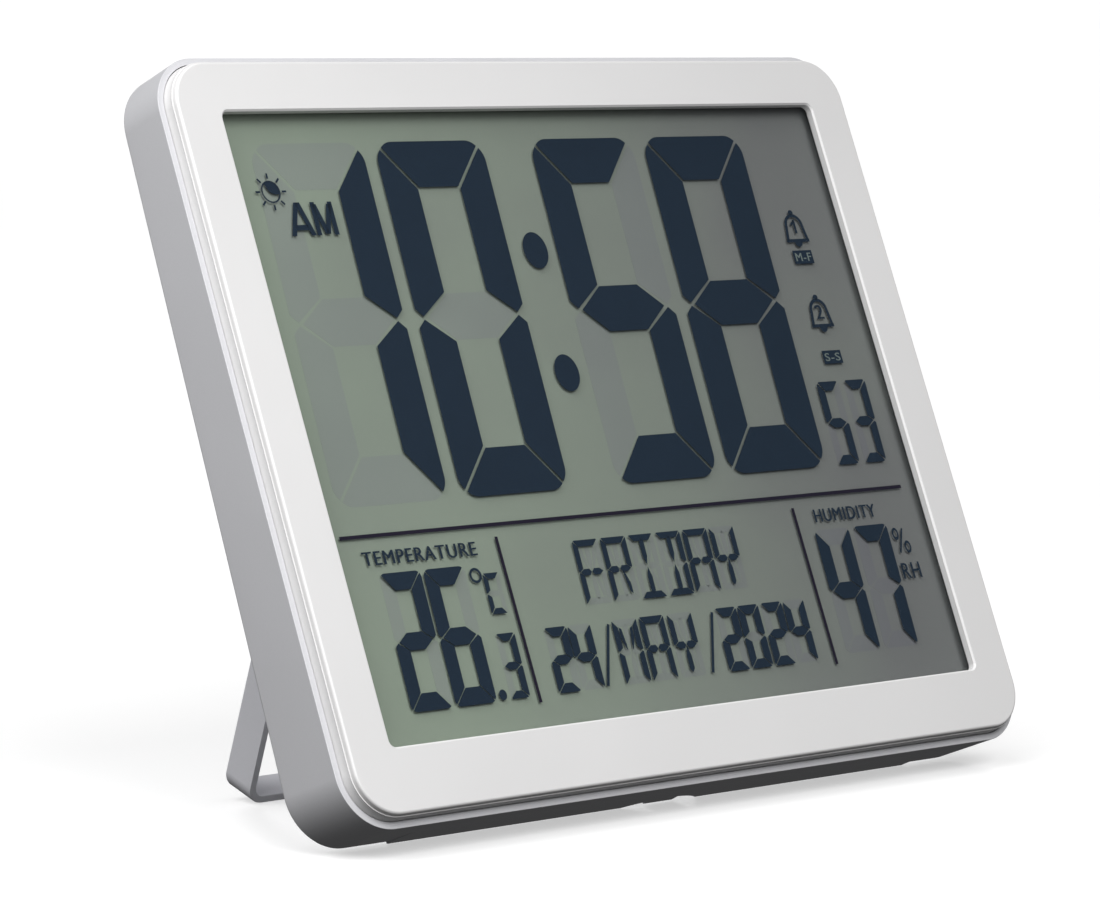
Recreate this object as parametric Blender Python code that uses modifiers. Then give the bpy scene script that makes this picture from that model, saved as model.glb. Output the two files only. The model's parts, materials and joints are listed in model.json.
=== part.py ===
"""Large digital desk clock with a fold-out stand, modelled at rest on its stand.

Two frames carry the parts. In the face frame X runs to the right, Y runs back from the front
face and Z runs up the face. The back frame is the same frame turned to lie in the wedge-shaped
case's rear surface, with Y pointing out of it. Both lean back with the clock. Units are metres.
"""

import math

import bmesh
import bpy
from mathutils import Matrix, Vector

# Stance
LEAN = math.radians(22.68)
STAND_OPENING = math.radians(39.8)

# Raised front frame
FACE_WIDTH = 0.2500
FACE_HEIGHT = 0.2059
FACE_CORNER = 0.0125
FACE_EDGE = 0.0008
FACE_THICKNESS = 0.0024
FACE_RAISE = 0.0044
WALL_FLARE = 0.0007
SKIRT_INSET = 0.0004
SKIRT_WALL = 0.0020
SKIRT_END = 0.0110
WINDOW_WIDTH = 0.2217
WINDOW_HEIGHT = 0.1744
WINDOW_RISE = 0.0017
WINDOW_CORNER = 0.0020
WINDOW_CHAMFER = 0.0005

# Rear case: a wedge, deeper at the bottom
CASE_MARGIN = 0.0028
CASE_WIDTH = FACE_WIDTH + 2 * CASE_MARGIN
CASE_HEIGHT = FACE_HEIGHT + 2 * CASE_MARGIN
CASE_CORNER = FACE_CORNER + CASE_MARGIN
CASE_EDGE = 0.0012
CASE_WALL = 0.0018
BACK_WALL = 0.0024
DEPTH_TOP = 0.0205
DEPTH_BOTTOM = 0.0274
BOTTOM_DRAFT = 0.0010
WEDGE = math.atan((DEPTH_BOTTOM - DEPTH_TOP) / CASE_HEIGHT)
DEPTH_MIDDLE = (DEPTH_TOP + DEPTH_BOTTOM) / 2

# Foot pad and finger scoop on the underside
PAD_HALF_WIDTH = 0.0980
PAD_DROP = 0.1053
PAD_FRONT = 0.0080
PAD_BACK = DEPTH_BOTTOM - 0.0005
SCOOP_HALF_WIDTH = 0.0150
SCOOP_DEPTH = 0.0060
SCOOP_HEIGHT = 0.0032
SCOOP_STEPS = 96
CATCH_HALF_WIDTH = 0.0055
CATCH_HALF_LENGTH = 0.0030
CATCH_THICKNESS = 0.0010
CATCH_BACK = 0.0023
CATCH_DROP = math.radians(-5)
PAD_EDGE = 0.0003

# Display stack, from front to back: thickness of each layer and the gap behind it
DISPLAY_FRONT = 0.0027
LAYER_GAP = 0.0001
FILM = 0.0002
GLASS = 0.0011
DISPLAY_OVERLAP = 0.0026
DISPLAY_WIDTH = WINDOW_WIDTH + 2 * DISPLAY_OVERLAP
DISPLAY_HEIGHT = WINDOW_HEIGHT + 2 * DISPLAY_OVERLAP
DISPLAY_TOP = WINDOW_RISE + DISPLAY_HEIGHT / 2
LEDGE = 0.0036
CONNECTOR_LOW = DISPLAY_TOP + 0.0005
CONNECTOR_HIGH = CONNECTOR_LOW + 0.0022
CONNECTOR_HALF_WIDTH = 0.0950
BACKPLATE_FRONT = 0.0059
BACKPLATE = 0.0012
BACKPLATE_HALF_WIDTH = 0.1142
BACKPLATE_HEIGHT = 0.1860
BACKPLATE_CORNER = 0.0030
BACKPLATE_RISE = 0.0035
EAR_RADIUS = 0.0038
EAR_STEP = 0.0001

# Circuit board
BOARD_FRONT = 0.0077
BOARD_THICKNESS = 0.0016
BOARD_BACK = BOARD_FRONT + BOARD_THICKNESS
BOARD_HALF_WIDTH = 0.1050
BOARD_LOW = 0.0300
BOARD_HIGH = 0.0960
BOARD_POST = 0.0026
CHIP_PROFILE = [(0, 0.0020), (0.0040, 0.0018), (0.0072, 0.0010), (0.0088, 0.0), (0, 0)]
COMPONENT_RISE = 0.0720
CRYSTAL_RADIUS = 0.0015
CRYSTAL_X = (0.0180, 0.0260)
CAPACITOR_RADIUS = 0.0025
CAPACITOR_HEIGHT = 0.0070
CAPACITOR_X = -0.0240

# Buttons on the back
BUTTON_NAMES = ("alarm", "snooze", "mode", "minus", "plus", "set")
BUTTON_PITCH = 0.0200
BUTTON_RISE = 0.0560
BUTTON_WIDTH = 0.0100
BUTTON_HEIGHT = 0.0062
BUTTON_CORNER = 0.0010
BUTTON_EDGE = 0.0004
BUTTON_GAP = 0.0003
BUTTON_PANEL_DEPTH = 0.0008
BUTTON_PANEL_HEIGHT = 0.0150
BUTTON_PANEL_CORNER = 0.0040
BUTTON_PROUD = 0.0002
FLANGE = 0.0010
STEM_RADIUS = 0.0016
SWITCH_SIZE = 0.0060
SWITCH_BACK = 0.0132
SWITCH_WELL = 0.0020
SWITCH_GAP = 0.0003
PRESS_CLEARANCE = 0.0012

# Batteries: two AA cells side by side
CELL_RADIUS = 0.00725
CELL_LENGTH = 0.0503
CELL_EDGE = 0.0006
CELL_GAP = 0.0003
NUB_RADIUS = 0.00275
NUB_LENGTH = 0.0010
NUB_OVERLAP = 0.0010
CELL_HEIGHTS = (-0.0540, -0.0695)
BAY_HALF_WIDTH = 0.0295
BAY_LOW = -0.0774
BAY_HIGH = -0.0436
BAY_FLOOR = 0.0085
BAY_WALL = 0.0014
CELL_DEPTH = BAY_FLOOR + CELL_GAP + CELL_RADIUS
LEAD_HOLE = 0.0012
CONTACT = 0.0004
CONTACT_HALF = 0.0055
CONTACT_GAP = 0.0004
SPRING_RADIUS = 0.0030
SPRING_WIRE = 0.0004
SPRING_TURNS = 4
DOOR_LEDGE = 0.0034
DOOR_THICKNESS = 0.0013
DOOR_RECESS = 0.0016
DOOR_GAP = 0.0003
DOOR_CORNER = 0.0018
LATCH_HALF_WIDTH = 0.0050
LATCH_DEPTH = 0.0055
LATCH_THICKNESS = 0.0010
LATCH_INSET = 0.0006
RIB_HALF_WIDTH = 0.0200
RIB_HALF_HEIGHT = 0.0006
RIB_DEPTH = 0.0004
GRIP_COUNT = 4
GRIP_PITCH = 0.0018
GRIP_WIDTH = 0.0008
GRIP_HALF_LENGTH = 0.0080
GRIP_DEPTH = 0.0004
GRIP_TOP = 0.0052
NOTCH_RADIUS = 0.0075
NOTCH_OFFSET = 0.0015

# Stand: a U-shaped strip that folds into a channel in the back
STRIP = 0.0022
STRIP_DEPTH = 0.0111
STAND_HALF_WIDTH = 0.0849
STAND_CORNER = 0.0052
HINGE_RISE = 0.0190
HINGE_INSET = 0.0037
STRIP_BEHIND_HINGE = 0.0034
ARM_ABOVE_HINGE = 0.0030
ARM_ROUNDING = 0.0028
INNER_CORNER = 0.0008
CHANNEL_CLEARANCE = 0.0004
CHANNEL_DEPTH = 0.0120
CHANNEL_WALL = 0.0015
CHANNEL_TOP = 0.0049
PIN_RADIUS = 0.0012
PIN_HOLE = 0.00145
PIN_LENGTH = 0.0082
PIN_EDGE = 0.0002

# Case screws and the posts they join
POSTS = [(side * 0.1185, height) for side in (-1, 1) for height in (-0.0965, 0.0, 0.0965)]
POST_RADIUS = 0.0042
POST_FRONT = 0.0130
BOSS_RADIUS = 0.0035
BOSS_END = 0.0127
SCREW_RADIUS = 0.0014
SCREW_HOLE = 0.0017
SCREW_HEAD = 0.0028
SCREW_HEAD_HEIGHT = 0.0018
SCREW_TIP = 0.0050
COUNTERBORE = 0.0034
COUNTERBORE_FLOOR = 0.0150
CROSS_HALF_WIDTH = 0.0003
CROSS_HALF_LENGTH = 0.0016
CROSS_DEPTH = 0.0009

# Small screws for the backplate and the board
PLATE_SCREWS = [(side * 0.1185, height) for side in (-1, 1) for height in (-0.05, 0.05)]
BOARD_SCREWS = [(side * 0.0980, height) for side in (-1, 1) for height in (0.036, 0.084)]
SMALL_SCREW = 0.0011
SMALL_HOLE = 0.0014
SMALL_HEAD = 0.0022
SMALL_HEAD_HEIGHT = 0.0011
SMALL_BOSS = 0.0030
SCREW_LIFT = 0.0003
PLATE_SCREW_TIP = FACE_THICKNESS + 0.0006
BOARD_SCREW_TIP = BACKPLATE_FRONT + 0.0003

# Openings and small parts in the back
VENT_X = 0.0600
VENT_COUNT = 6
VENT_PITCH = 0.0032
VENT_HALF_WIDTH = 0.0008
VENT_HALF_HEIGHT = 0.0070
SOUNDER_X = -0.0600
SOUNDER_RADIUS = 0.0110
SOUNDER_HEIGHT = 0.0032
SOUNDER_EDGE = 0.0006
SOUND_HOLE = 0.0011
SOUND_HOLES = 7
SOUND_RING = 0.0050
KEYHOLE_X = 0.0600
KEYHOLE_Z = 0.0780
KEYHOLE_RADIUS = 0.0042
KEYHOLE_SLOT = 0.0021
KEYHOLE_RISE = 0.0090
LABEL_HALF_WIDTH = 0.0350
LABEL_HALF_HEIGHT = 0.0180
LABEL_DEPTH = 0.0003
LABEL_CORNER = 0.0020
SENSOR_HALF_WIDTH = 0.0070
SENSOR_HALF_HEIGHT = 0.0060
SENSOR_BOARD = (0.0020, 0.0032)
SENSOR_BLOCK_HALF = 0.0030
SENSOR_BLOCK_DEPTH = 0.0026
WIRE_RADIUS = 0.0007
LEAD_DEPTH = 0.0118

CORNER_STEPS = 6
ROUND_STEPS = 12
BEYOND = 0.0020


def collection(name):
    made = bpy.data.collections.new(name)
    bpy.context.scene.collection.children.link(made)
    return made


def material(name, colour, roughness, metallic=0.0):
    made = bpy.data.materials.new(name)
    made.use_nodes = True
    shader = made.node_tree.nodes["Principled BSDF"]
    shader.inputs["Base Color"].default_value = (*colour, 1.0)
    shader.inputs["Roughness"].default_value = roughness
    shader.inputs["Metallic"].default_value = metallic
    return made


def frame(name, parent, location, turn):
    made = bpy.data.objects.new(name, None)
    parts.objects.link(made)
    made.parent = parent
    made.location = location
    made.rotation_euler = (turn, 0, 0)
    return made


def back_depth(height):
    """Depth of the case's rear surface at a height on the face."""
    return DEPTH_MIDDLE - height * math.tan(WEDGE)


def place(name, mesh, parent, location=(0, 0, 0), turn=(0, 0, 0), finish=None):
    """Makes an object. With a finish it is a part, and without one it is a cutter or an added shape."""
    made = bpy.data.objects.new(name, mesh)
    made.parent = parent
    made.location = location
    made.rotation_euler = turn
    if finish:
        parts.objects.link(made)
        mesh.materials.append(material(name, *finish))
        mesh.shade_smooth()
        mesh.set_sharp_from_angle(angle=math.radians(35))
    else:
        helpers.objects.link(made)
        made.hide_render = True
        made.display_type = "WIRE"
    return made


def mesh_of(shape, name):
    mesh = bpy.data.meshes.new(name)
    shape.to_mesh(mesh)
    shape.free()
    return mesh


def box(name, parent, x, y, z, finish=None, edge=0.0):
    """Box between pairs of limits, with its edges rounded if an edge radius is given."""
    shape = bmesh.new()
    bmesh.ops.create_cube(shape, size=1)
    bmesh.ops.scale(shape, vec=(x[1] - x[0], y[1] - y[0], z[1] - z[0]), verts=shape.verts)
    if edge:
        bmesh.ops.bevel(shape, geom=shape.edges, offset=edge, segments=2, affect="EDGES", profile=0.5)
    centre = (sum(x) / 2, sum(y) / 2, sum(z) / 2)
    return place(name, mesh_of(shape, name), parent, centre, finish=finish)


def cylinder(name, parent, radius, start, end, axis="Y", finish=None, edge=0.0, steps=ROUND_STEPS):
    """Round bar from start to end along one axis of its frame."""
    length = math.dist(start, end)
    shape = bmesh.new()
    bmesh.ops.create_cone(
        shape, cap_ends=True, segments=steps, radius1=radius, radius2=radius, depth=length
    )
    turn = {"X": (0, math.pi / 2, 0), "Y": (-math.pi / 2, 0, 0), "Z": (0, 0, 0)}[axis]
    if edge:
        rim = [e for e in shape.edges if e.calc_face_angle() > math.pi / 3]
        bmesh.ops.bevel(shape, geom=rim, offset=edge, segments=1, affect="EDGES", profile=0.5)
    centre = [(a + b) / 2 for a, b in zip(start, end)]
    return place(name, mesh_of(shape, name), parent, centre, turn, finish)


def arc(centre, radius, first, last, steps):
    """Points along an arc, in degrees."""
    angles = [math.radians(first + (last - first) * i / steps) for i in range(steps + 1)]
    return [(centre[0] + radius * math.cos(a), centre[1] + radius * math.sin(a)) for a in angles]


def rounded_rectangle(width, height, radius, steps=CORNER_STEPS):
    corners = ((1, 1, 0), (-1, 1, 90), (-1, -1, 180), (1, -1, 270))
    points = []
    for across, up, first in corners:
        centre = (across * (width / 2 - radius), up * (height / 2 - radius))
        points += arc(centre, radius, first, first + 90, steps)
    return points


def grown(size, amount):
    """A rounded rectangle's (width, height, corner radius), offset by an amount all round."""
    width, height, corner = size
    return width + 2 * amount, height + 2 * amount, corner + amount


def spread(points, size, amount):
    """Moves points on a rounded rectangle straight outwards, in the face plane."""
    width, height, corner = size
    for v in points:
        across = past(v.co.x, width / 2 - corner)
        up = past(v.co.z, height / 2 - corner)
        v.co += Vector((across, 0, up)).normalized() * amount


def past(value, limit):
    """How far a value lies beyond a limit on either side of zero."""
    return value - max(-limit, min(limit, value))


def plate(name, outline, front, back):
    """Shape of a flat outline in the face plane, from one depth to another."""
    curve = bpy.data.curves.new(name, "CURVE")
    curve.dimensions = "2D"
    curve.fill_mode = "BOTH"
    curve.extrude = (back - front) / 2
    spline = curve.splines.new("POLY")
    spline.points.add(len(outline) - 1)
    for point, (x, z) in zip(spline.points, outline):
        point.co = (x, z, 0, 1)
    spline.use_cyclic_u = True
    guide = bpy.data.objects.new(name, curve)
    helpers.objects.link(guide)
    graph = bpy.context.evaluated_depsgraph_get()
    flat = bpy.data.meshes.new_from_object(guide.evaluated_get(graph))
    bpy.data.objects.remove(guide)
    shape = bmesh.new()
    shape.from_mesh(flat)
    bpy.data.meshes.remove(flat)
    bmesh.ops.remove_doubles(shape, verts=shape.verts, dist=1e-6)
    bmesh.ops.dissolve_limit(shape, angle_limit=0.01, verts=shape.verts, edges=shape.edges)
    bmesh.ops.transform(
        shape,
        matrix=Matrix.Translation((0, (front + back) / 2, 0)) @ Matrix.Rotation(math.pi / 2, 4, "X"),
        verts=shape.verts,
    )
    bmesh.ops.recalc_face_normals(shape, faces=shape.faces)
    return shape


def at_depth(shape, depth):
    return [v for v in shape.verts if abs(v.co.y - depth) < 1e-5]


def rim_edges(shape, points):
    """Edges between these points where a cap meets a side."""
    chosen = set(points)
    return [
        e for e in shape.edges if set(e.verts) <= chosen and e.calc_face_angle() > math.radians(50)
    ]


def round_rim(shape, points, radius, segments):
    bmesh.ops.bevel(
        shape,
        geom=rim_edges(shape, points),
        offset=radius,
        segments=segments,
        affect="EDGES",
        profile=0.5,
    )


def change(target, kind, shapes):
    """Cuts shapes from a part, or joins them to it."""
    for shape in shapes:
        modifier = target.modifiers.new(f"{kind.lower()} {shape.name}", "BOOLEAN")
        modifier.operation = kind
        modifier.object = shape


def cut(target, *shapes):
    change(target, "DIFFERENCE", shapes)


def join(target, *shapes):
    change(target, "UNION", shapes)


def turned(name, parent, profile, location, finish, steps=ROUND_STEPS):
    """Part turned about the depth axis; its profile of (radius, depth) runs from the back forwards."""
    mesh = bpy.data.meshes.new(name)
    points = [(radius, 0, depth) for radius, depth in profile]
    mesh.from_pydata(points, [(i, i + 1) for i in range(len(points) - 1)], [])
    made = place(name, mesh, parent, location, (-math.pi / 2, 0, 0), finish)
    screw = made.modifiers.new("turn", "SCREW")
    screw.steps = steps
    screw.render_steps = steps
    screw.use_merge_vertices = True
    screw.merge_threshold = 1e-6
    return made


def tube(name, parent, points, radius, finish=None, cyclic=False):
    """Round wire through its points, as a mesh with its end caps joined on."""
    curve = bpy.data.curves.new(name, "CURVE")
    curve.dimensions = "3D"
    curve.bevel_depth = radius
    curve.bevel_resolution = 2
    curve.use_fill_caps = True
    spline = curve.splines.new("POLY")
    spline.points.add(len(points) - 1)
    for point, place_at in zip(spline.points, points):
        point.co = (*place_at, 1)
    spline.use_cyclic_u = cyclic
    guide = bpy.data.objects.new(name, curve)
    helpers.objects.link(guide)
    graph = bpy.context.evaluated_depsgraph_get()
    mesh = bpy.data.meshes.new_from_object(guide.evaluated_get(graph))
    bpy.data.objects.remove(guide)
    shape = bmesh.new()
    shape.from_mesh(mesh)
    bpy.data.meshes.remove(mesh)
    bmesh.ops.remove_doubles(shape, verts=shape.verts, dist=1e-7)
    bmesh.ops.recalc_face_normals(shape, faces=shape.faces)
    return place(name, mesh_of(shape, name), parent, finish=finish)


def smooth_route(knots, steps=4):
    """Points of a Catmull-Rom curve through hand-placed knots."""
    padded = [knots[0], *knots, knots[-1]]
    route = []
    for i in range(len(knots) - 1):
        a, b, c, d = padded[i : i + 4]
        for step in range(steps):
            t = step / steps
            route.append([
                0.5 * (2 * q + (r - p) * t + (2 * p - 5 * q + 4 * r - s) * t**2 + (3 * q - p - 3 * r + s) * t**3)
                for p, q, r, s in zip(a, b, c, d)
            ])
    return [*route, list(knots[-1])]


# Finishes: colour, roughness, metallic
SILVER_PAINT = ((0.72, 0.72, 0.73), 0.42)
GREY_PLASTIC = ((0.40, 0.41, 0.43), 0.50)
BLACK_PLASTIC = ((0.03, 0.03, 0.035), 0.55)
WHITE_PLASTIC = ((0.75, 0.76, 0.76), 0.50)
CLEAR_GLASS = ((0.62, 0.68, 0.66), 0.10)
DISPLAY_FILM = ((0.23, 0.27, 0.22), 0.45)
BOARD_GREEN = ((0.02, 0.16, 0.06), 0.45)
STEEL = ((0.62, 0.62, 0.63), 0.30, 1.0)
NICKEL = ((0.70, 0.68, 0.63), 0.25, 1.0)
EPOXY = ((0.02, 0.02, 0.02), 0.35)
RUBBER = ((0.05, 0.05, 0.05), 0.80)
CELL_JACKET = ((0.10, 0.16, 0.30), 0.40)
RED_WIRE = ((0.55, 0.03, 0.03), 0.50)
BLACK_WIRE = ((0.02, 0.02, 0.02), 0.50)


def make_front_bezel():
    face_size = (FACE_WIDTH, FACE_HEIGHT, FACE_CORNER)
    shape = plate("front_bezel", rounded_rectangle(*face_size), 0, FACE_RAISE + SKIRT_INSET)
    spread(at_depth(shape, FACE_RAISE + SKIRT_INSET), face_size, WALL_FLARE)
    round_rim(shape, at_depth(shape, 0), FACE_EDGE, 3)
    bezel = place("front_bezel", mesh_of(shape, "front_bezel"), face, finish=SILVER_PAINT)

    skirt = grown(face_size, WALL_FLARE - SKIRT_INSET)
    join(bezel, from_outline("bezel_skirt", skirt, FACE_EDGE * 2, SKIRT_END))
    pocket = grown(skirt, -SKIRT_WALL)
    cut(bezel, from_outline("bezel_pocket", pocket, FACE_THICKNESS, SKIRT_END + BEYOND))
    for i, (x, z) in enumerate(POSTS):
        start = (x, FACE_THICKNESS - CASE_EDGE, z)
        join(bezel, cylinder(f"boss_{i}", face, BOSS_RADIUS, start, (x, BOSS_END, z)))
        pilot = (x, SCREW_TIP - SCREW_LIFT, z)
        cut(bezel, cylinder(f"boss_hole_{i}", face, SCREW_HOLE, pilot, (x, BOSS_END + BEYOND, z)))
    for i, (x, z) in enumerate(PLATE_SCREWS):
        end = (x, BACKPLATE_FRONT - SCREW_LIFT, z)
        start = (x, FACE_THICKNESS - CASE_EDGE, z)
        join(bezel, cylinder(f"plate_boss_{i}", face, SMALL_BOSS, start, end))
        pilot = (x, FACE_THICKNESS + SCREW_LIFT, z)
        cut(bezel, cylinder(f"plate_pilot_{i}", face, SMALL_HOLE, pilot, (x, BACKPLATE_FRONT, z)))
    cut(bezel, *window_cutters())
    return bezel


def from_outline(name, size, front, back, parent=None, centre=(0, 0, 0), finish=None):
    """Rounded-rectangle plate of size (width, height, corner radius)."""
    shape = plate(name, rounded_rectangle(*size), front, back)
    return place(name, mesh_of(shape, name), parent or face, centre, finish=finish)


def window_cutters():
    """The straight window, and the chamfer round its front edge."""
    size = (WINDOW_WIDTH, WINDOW_HEIGHT, WINDOW_CORNER)
    through = from_outline(
        "window", size, -BEYOND, FACE_THICKNESS + BEYOND, centre=(0, 0, WINDOW_RISE)
    )
    shape = plate("window_chamfer", rounded_rectangle(*size), -WINDOW_CHAMFER, WINDOW_CHAMFER)
    spread(at_depth(shape, -WINDOW_CHAMFER), size, 2 * WINDOW_CHAMFER)
    chamfer = place("window_chamfer", mesh_of(shape, "window_chamfer"), face, (0, 0, WINDOW_RISE))
    return through, chamfer


def case_shape(name, inset, front, back_inset):
    """Wedge-shaped block that follows the case's outside, set in by a wall thickness."""
    outline = rounded_rectangle(
        CASE_WIDTH - 2 * inset, CASE_HEIGHT - 2 * inset, CASE_CORNER - inset
    )
    shape = plate(name, outline, front, DEPTH_MIDDLE)
    rear = at_depth(shape, DEPTH_MIDDLE)
    for v in rear:
        v.co.y = back_depth(v.co.z) - back_inset
        if v.co.z < 0:
            v.co.z += BOTTOM_DRAFT
    return shape, rear


def bail_outline(half_width, top, bottom, wall, corner):
    """U-shaped outline open at the top: down the outside and back up the inside."""
    outer = arc((half_width - corner, bottom + corner), corner, 0, -90, CORNER_STEPS)
    inner_corner = max(corner - wall, INNER_CORNER)
    inner_centre = (half_width - wall - inner_corner, bottom + wall + inner_corner)
    inner = arc(inner_centre, inner_corner, 0, -90, CORNER_STEPS)
    right = [(half_width, top), *outer]
    left = [(-x, z) for x, z in reversed(right)]
    inside = [(half_width - wall, top), *inner]
    return right + left + [(-x, z) for x, z in inside] + list(reversed(inside))


def channel(name, clearance, top, floor, outside):
    """The channel that the folded stand lies in, grown by a clearance, in the back frame."""
    outline = bail_outline(
        STAND_HALF_WIDTH + clearance,
        HINGE_RISE_ON_BACK + top,
        HINGE_RISE_ON_BACK - stand_length() - clearance,
        STRIP + 2 * clearance,
        STAND_CORNER + clearance,
    )
    shape = plate(name, outline, -floor, outside)
    return place(name, mesh_of(shape, name), back)


def make_rear_case():
    shape, rear = case_shape("rear_case", 0, FACE_RAISE, 0)
    round_rim(shape, rear, CASE_EDGE, 3)
    case = place("rear_case", mesh_of(shape, "rear_case"), face, finish=GREY_PLASTIC)
    hollow, _ = case_shape("case_hollow", CASE_WALL, FACE_RAISE - BEYOND, BACK_WALL)
    cut(case, place("case_hollow", mesh_of(hollow, "case_hollow"), face))
    add_case_posts(case)
    add_battery_bay(case)
    add_foot_pad(case)
    add_stand_channel(case)
    cut_button_panel(case)
    cut_back_openings(case)
    return case


def add_case_posts(case):
    for i, (x, z) in enumerate(POSTS):
        wall = back_depth(z) - BACK_WALL / 2
        join(case, cylinder(f"post_{i}", face, POST_RADIUS, (x, POST_FRONT, z), (x, wall, z)))
        out = (x, DEPTH_BOTTOM + BEYOND, z)
        cut(
            case,
            cylinder(f"post_hole_{i}", face, SCREW_HOLE, (x, POST_FRONT - BEYOND, z), out),
            cylinder(f"counterbore_{i}", face, COUNTERBORE, (x, COUNTERBORE_FLOOR, z), out),
        )


def add_battery_bay(case):
    outer = box(
        "bay_walls",
        face,
        (-BAY_HALF_WIDTH - BAY_WALL, BAY_HALF_WIDTH + BAY_WALL),
        (BAY_FLOOR - FLANGE, DEPTH_MIDDLE),
        (BAY_LOW - BAY_WALL, BAY_HIGH + BAY_WALL),
    )
    inside = box(
        "bay",
        face,
        (-BAY_HALF_WIDTH, BAY_HALF_WIDTH),
        (BAY_FLOOR, DEPTH_BOTTOM + BEYOND),
        (BAY_LOW, BAY_HIGH),
    )
    middle, width, height = door_place()
    size = grown((width, height, DOOR_CORNER), DOOR_GAP)
    recess = from_outline("door_recess", size, -DOOR_RECESS, BEYOND, back, (0, 0, middle))
    notch_rise = middle + height / 2 + NOTCH_OFFSET
    start = (0, -DOOR_RECESS / 2, notch_rise)
    notch = cylinder("thumb_notch", back, NOTCH_RADIUS, start, (0, BEYOND, notch_rise))
    join(case, outer)
    cut(case, inside, recess, notch)
    for i, z in enumerate(CELL_HEIGHTS):
        start = (-BAY_HALF_WIDTH - BAY_WALL - BEYOND, CELL_DEPTH, z)
        end = (-BAY_HALF_WIDTH + BEYOND, CELL_DEPTH, z)
        cut(case, cylinder(f"lead_hole_{i}", face, LEAD_HOLE, start, end, "X"))


def door_place():
    """Height of the door's middle in the back frame, and its width and height."""
    scale = 1 / math.cos(WEDGE)
    middle = (BAY_LOW + BAY_HIGH) / 2 * scale
    height = (BAY_HIGH - BAY_LOW) * scale + 2 * DOOR_LEDGE - 2 * DOOR_GAP
    return middle, 2 * (BAY_HALF_WIDTH + DOOR_LEDGE - DOOR_GAP), height


def add_foot_pad(case):
    """Level pad under the drafted bottom wall, standing proud at the rear."""
    pad = box(
        "foot_pad",
        face,
        (-PAD_HALF_WIDTH, PAD_HALF_WIDTH),
        (PAD_FRONT, PAD_BACK),
        (-PAD_DROP, -PAD_DROP + CASE_WALL),
        edge=PAD_EDGE,
    )
    join(case, pad)


def add_stand_channel(case):
    walls = channel(
        "channel_walls",
        CHANNEL_CLEARANCE + CHANNEL_WALL,
        CHANNEL_TOP + CHANNEL_WALL,
        CHANNEL_DEPTH + CHANNEL_WALL,
        -BACK_WALL / 2,
    )
    slot = channel("channel_slot", CHANNEL_CLEARANCE, CHANNEL_TOP, CHANNEL_DEPTH, BEYOND)
    join(case, walls)
    cut(case, slot)
    depth = hinge_depth()
    for side in (-1, 1):
        x = side * (STAND_HALF_WIDTH - STRIP / 2)
        span = PIN_LENGTH / 2 + BEYOND
        start = (x - span, depth, HINGE_RISE)
        end = (x + span, depth, HINGE_RISE)
        cut(case, cylinder(f"pin_hole_{side}", face, PIN_HOLE, start, end, "X"))
    add_scoop(case)


def add_scoop(case):
    """Shallow arc cut from the bottom wall for a fingertip, with the stand's catch left in it."""
    radius = (SCOOP_HALF_WIDTH**2 + SCOOP_DEPTH**2) / (2 * SCOOP_DEPTH)
    centre = DEPTH_BOTTOM - SCOOP_DEPTH + radius
    scoop = cylinder(
        "scoop",
        face,
        radius,
        (0, centre, -CASE_HEIGHT / 2 - BEYOND),
        (0, centre, -PAD_DROP + SCOOP_HEIGHT),
        "Z",
        steps=SCOOP_STEPS,
    )
    cut(case, scoop)
    catch = box(
        "catch",
        face,
        (-CATCH_HALF_WIDTH, CATCH_HALF_WIDTH),
        (-CATCH_HALF_LENGTH, CATCH_HALF_LENGTH),
        (-CATCH_THICKNESS / 2, CATCH_THICKNESS / 2),
    )
    catch.location = (0, DEPTH_BOTTOM - SCOOP_DEPTH + CATCH_BACK, -PAD_DROP + CATCH_THICKNESS)
    catch.rotation_euler = (CATCH_DROP, 0, 0)
    join(case, catch)


def button_places():
    count = len(BUTTON_NAMES)
    return [(name, (i - (count - 1) / 2) * BUTTON_PITCH) for i, name in enumerate(BUTTON_NAMES)]


def cut_button_panel(case):
    rise = BUTTON_RISE / math.cos(WEDGE)
    width = BUTTON_PITCH * len(BUTTON_NAMES) + BUTTON_PANEL_CORNER
    size = (width, BUTTON_PANEL_HEIGHT, BUTTON_PANEL_CORNER)
    cut(case, from_outline("button_panel", size, -BUTTON_PANEL_DEPTH, BEYOND, back, (0, 0, rise)))
    for name, x in button_places():
        hole = from_outline(
            f"{name}_hole",
            grown((BUTTON_WIDTH, BUTTON_HEIGHT, BUTTON_CORNER), BUTTON_GAP),
            back_depth(BUTTON_RISE) - BACK_WALL - BEYOND,
            DEPTH_BOTTOM,
            centre=(x, 0, BUTTON_RISE),
        )
        cut(case, hole)


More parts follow.
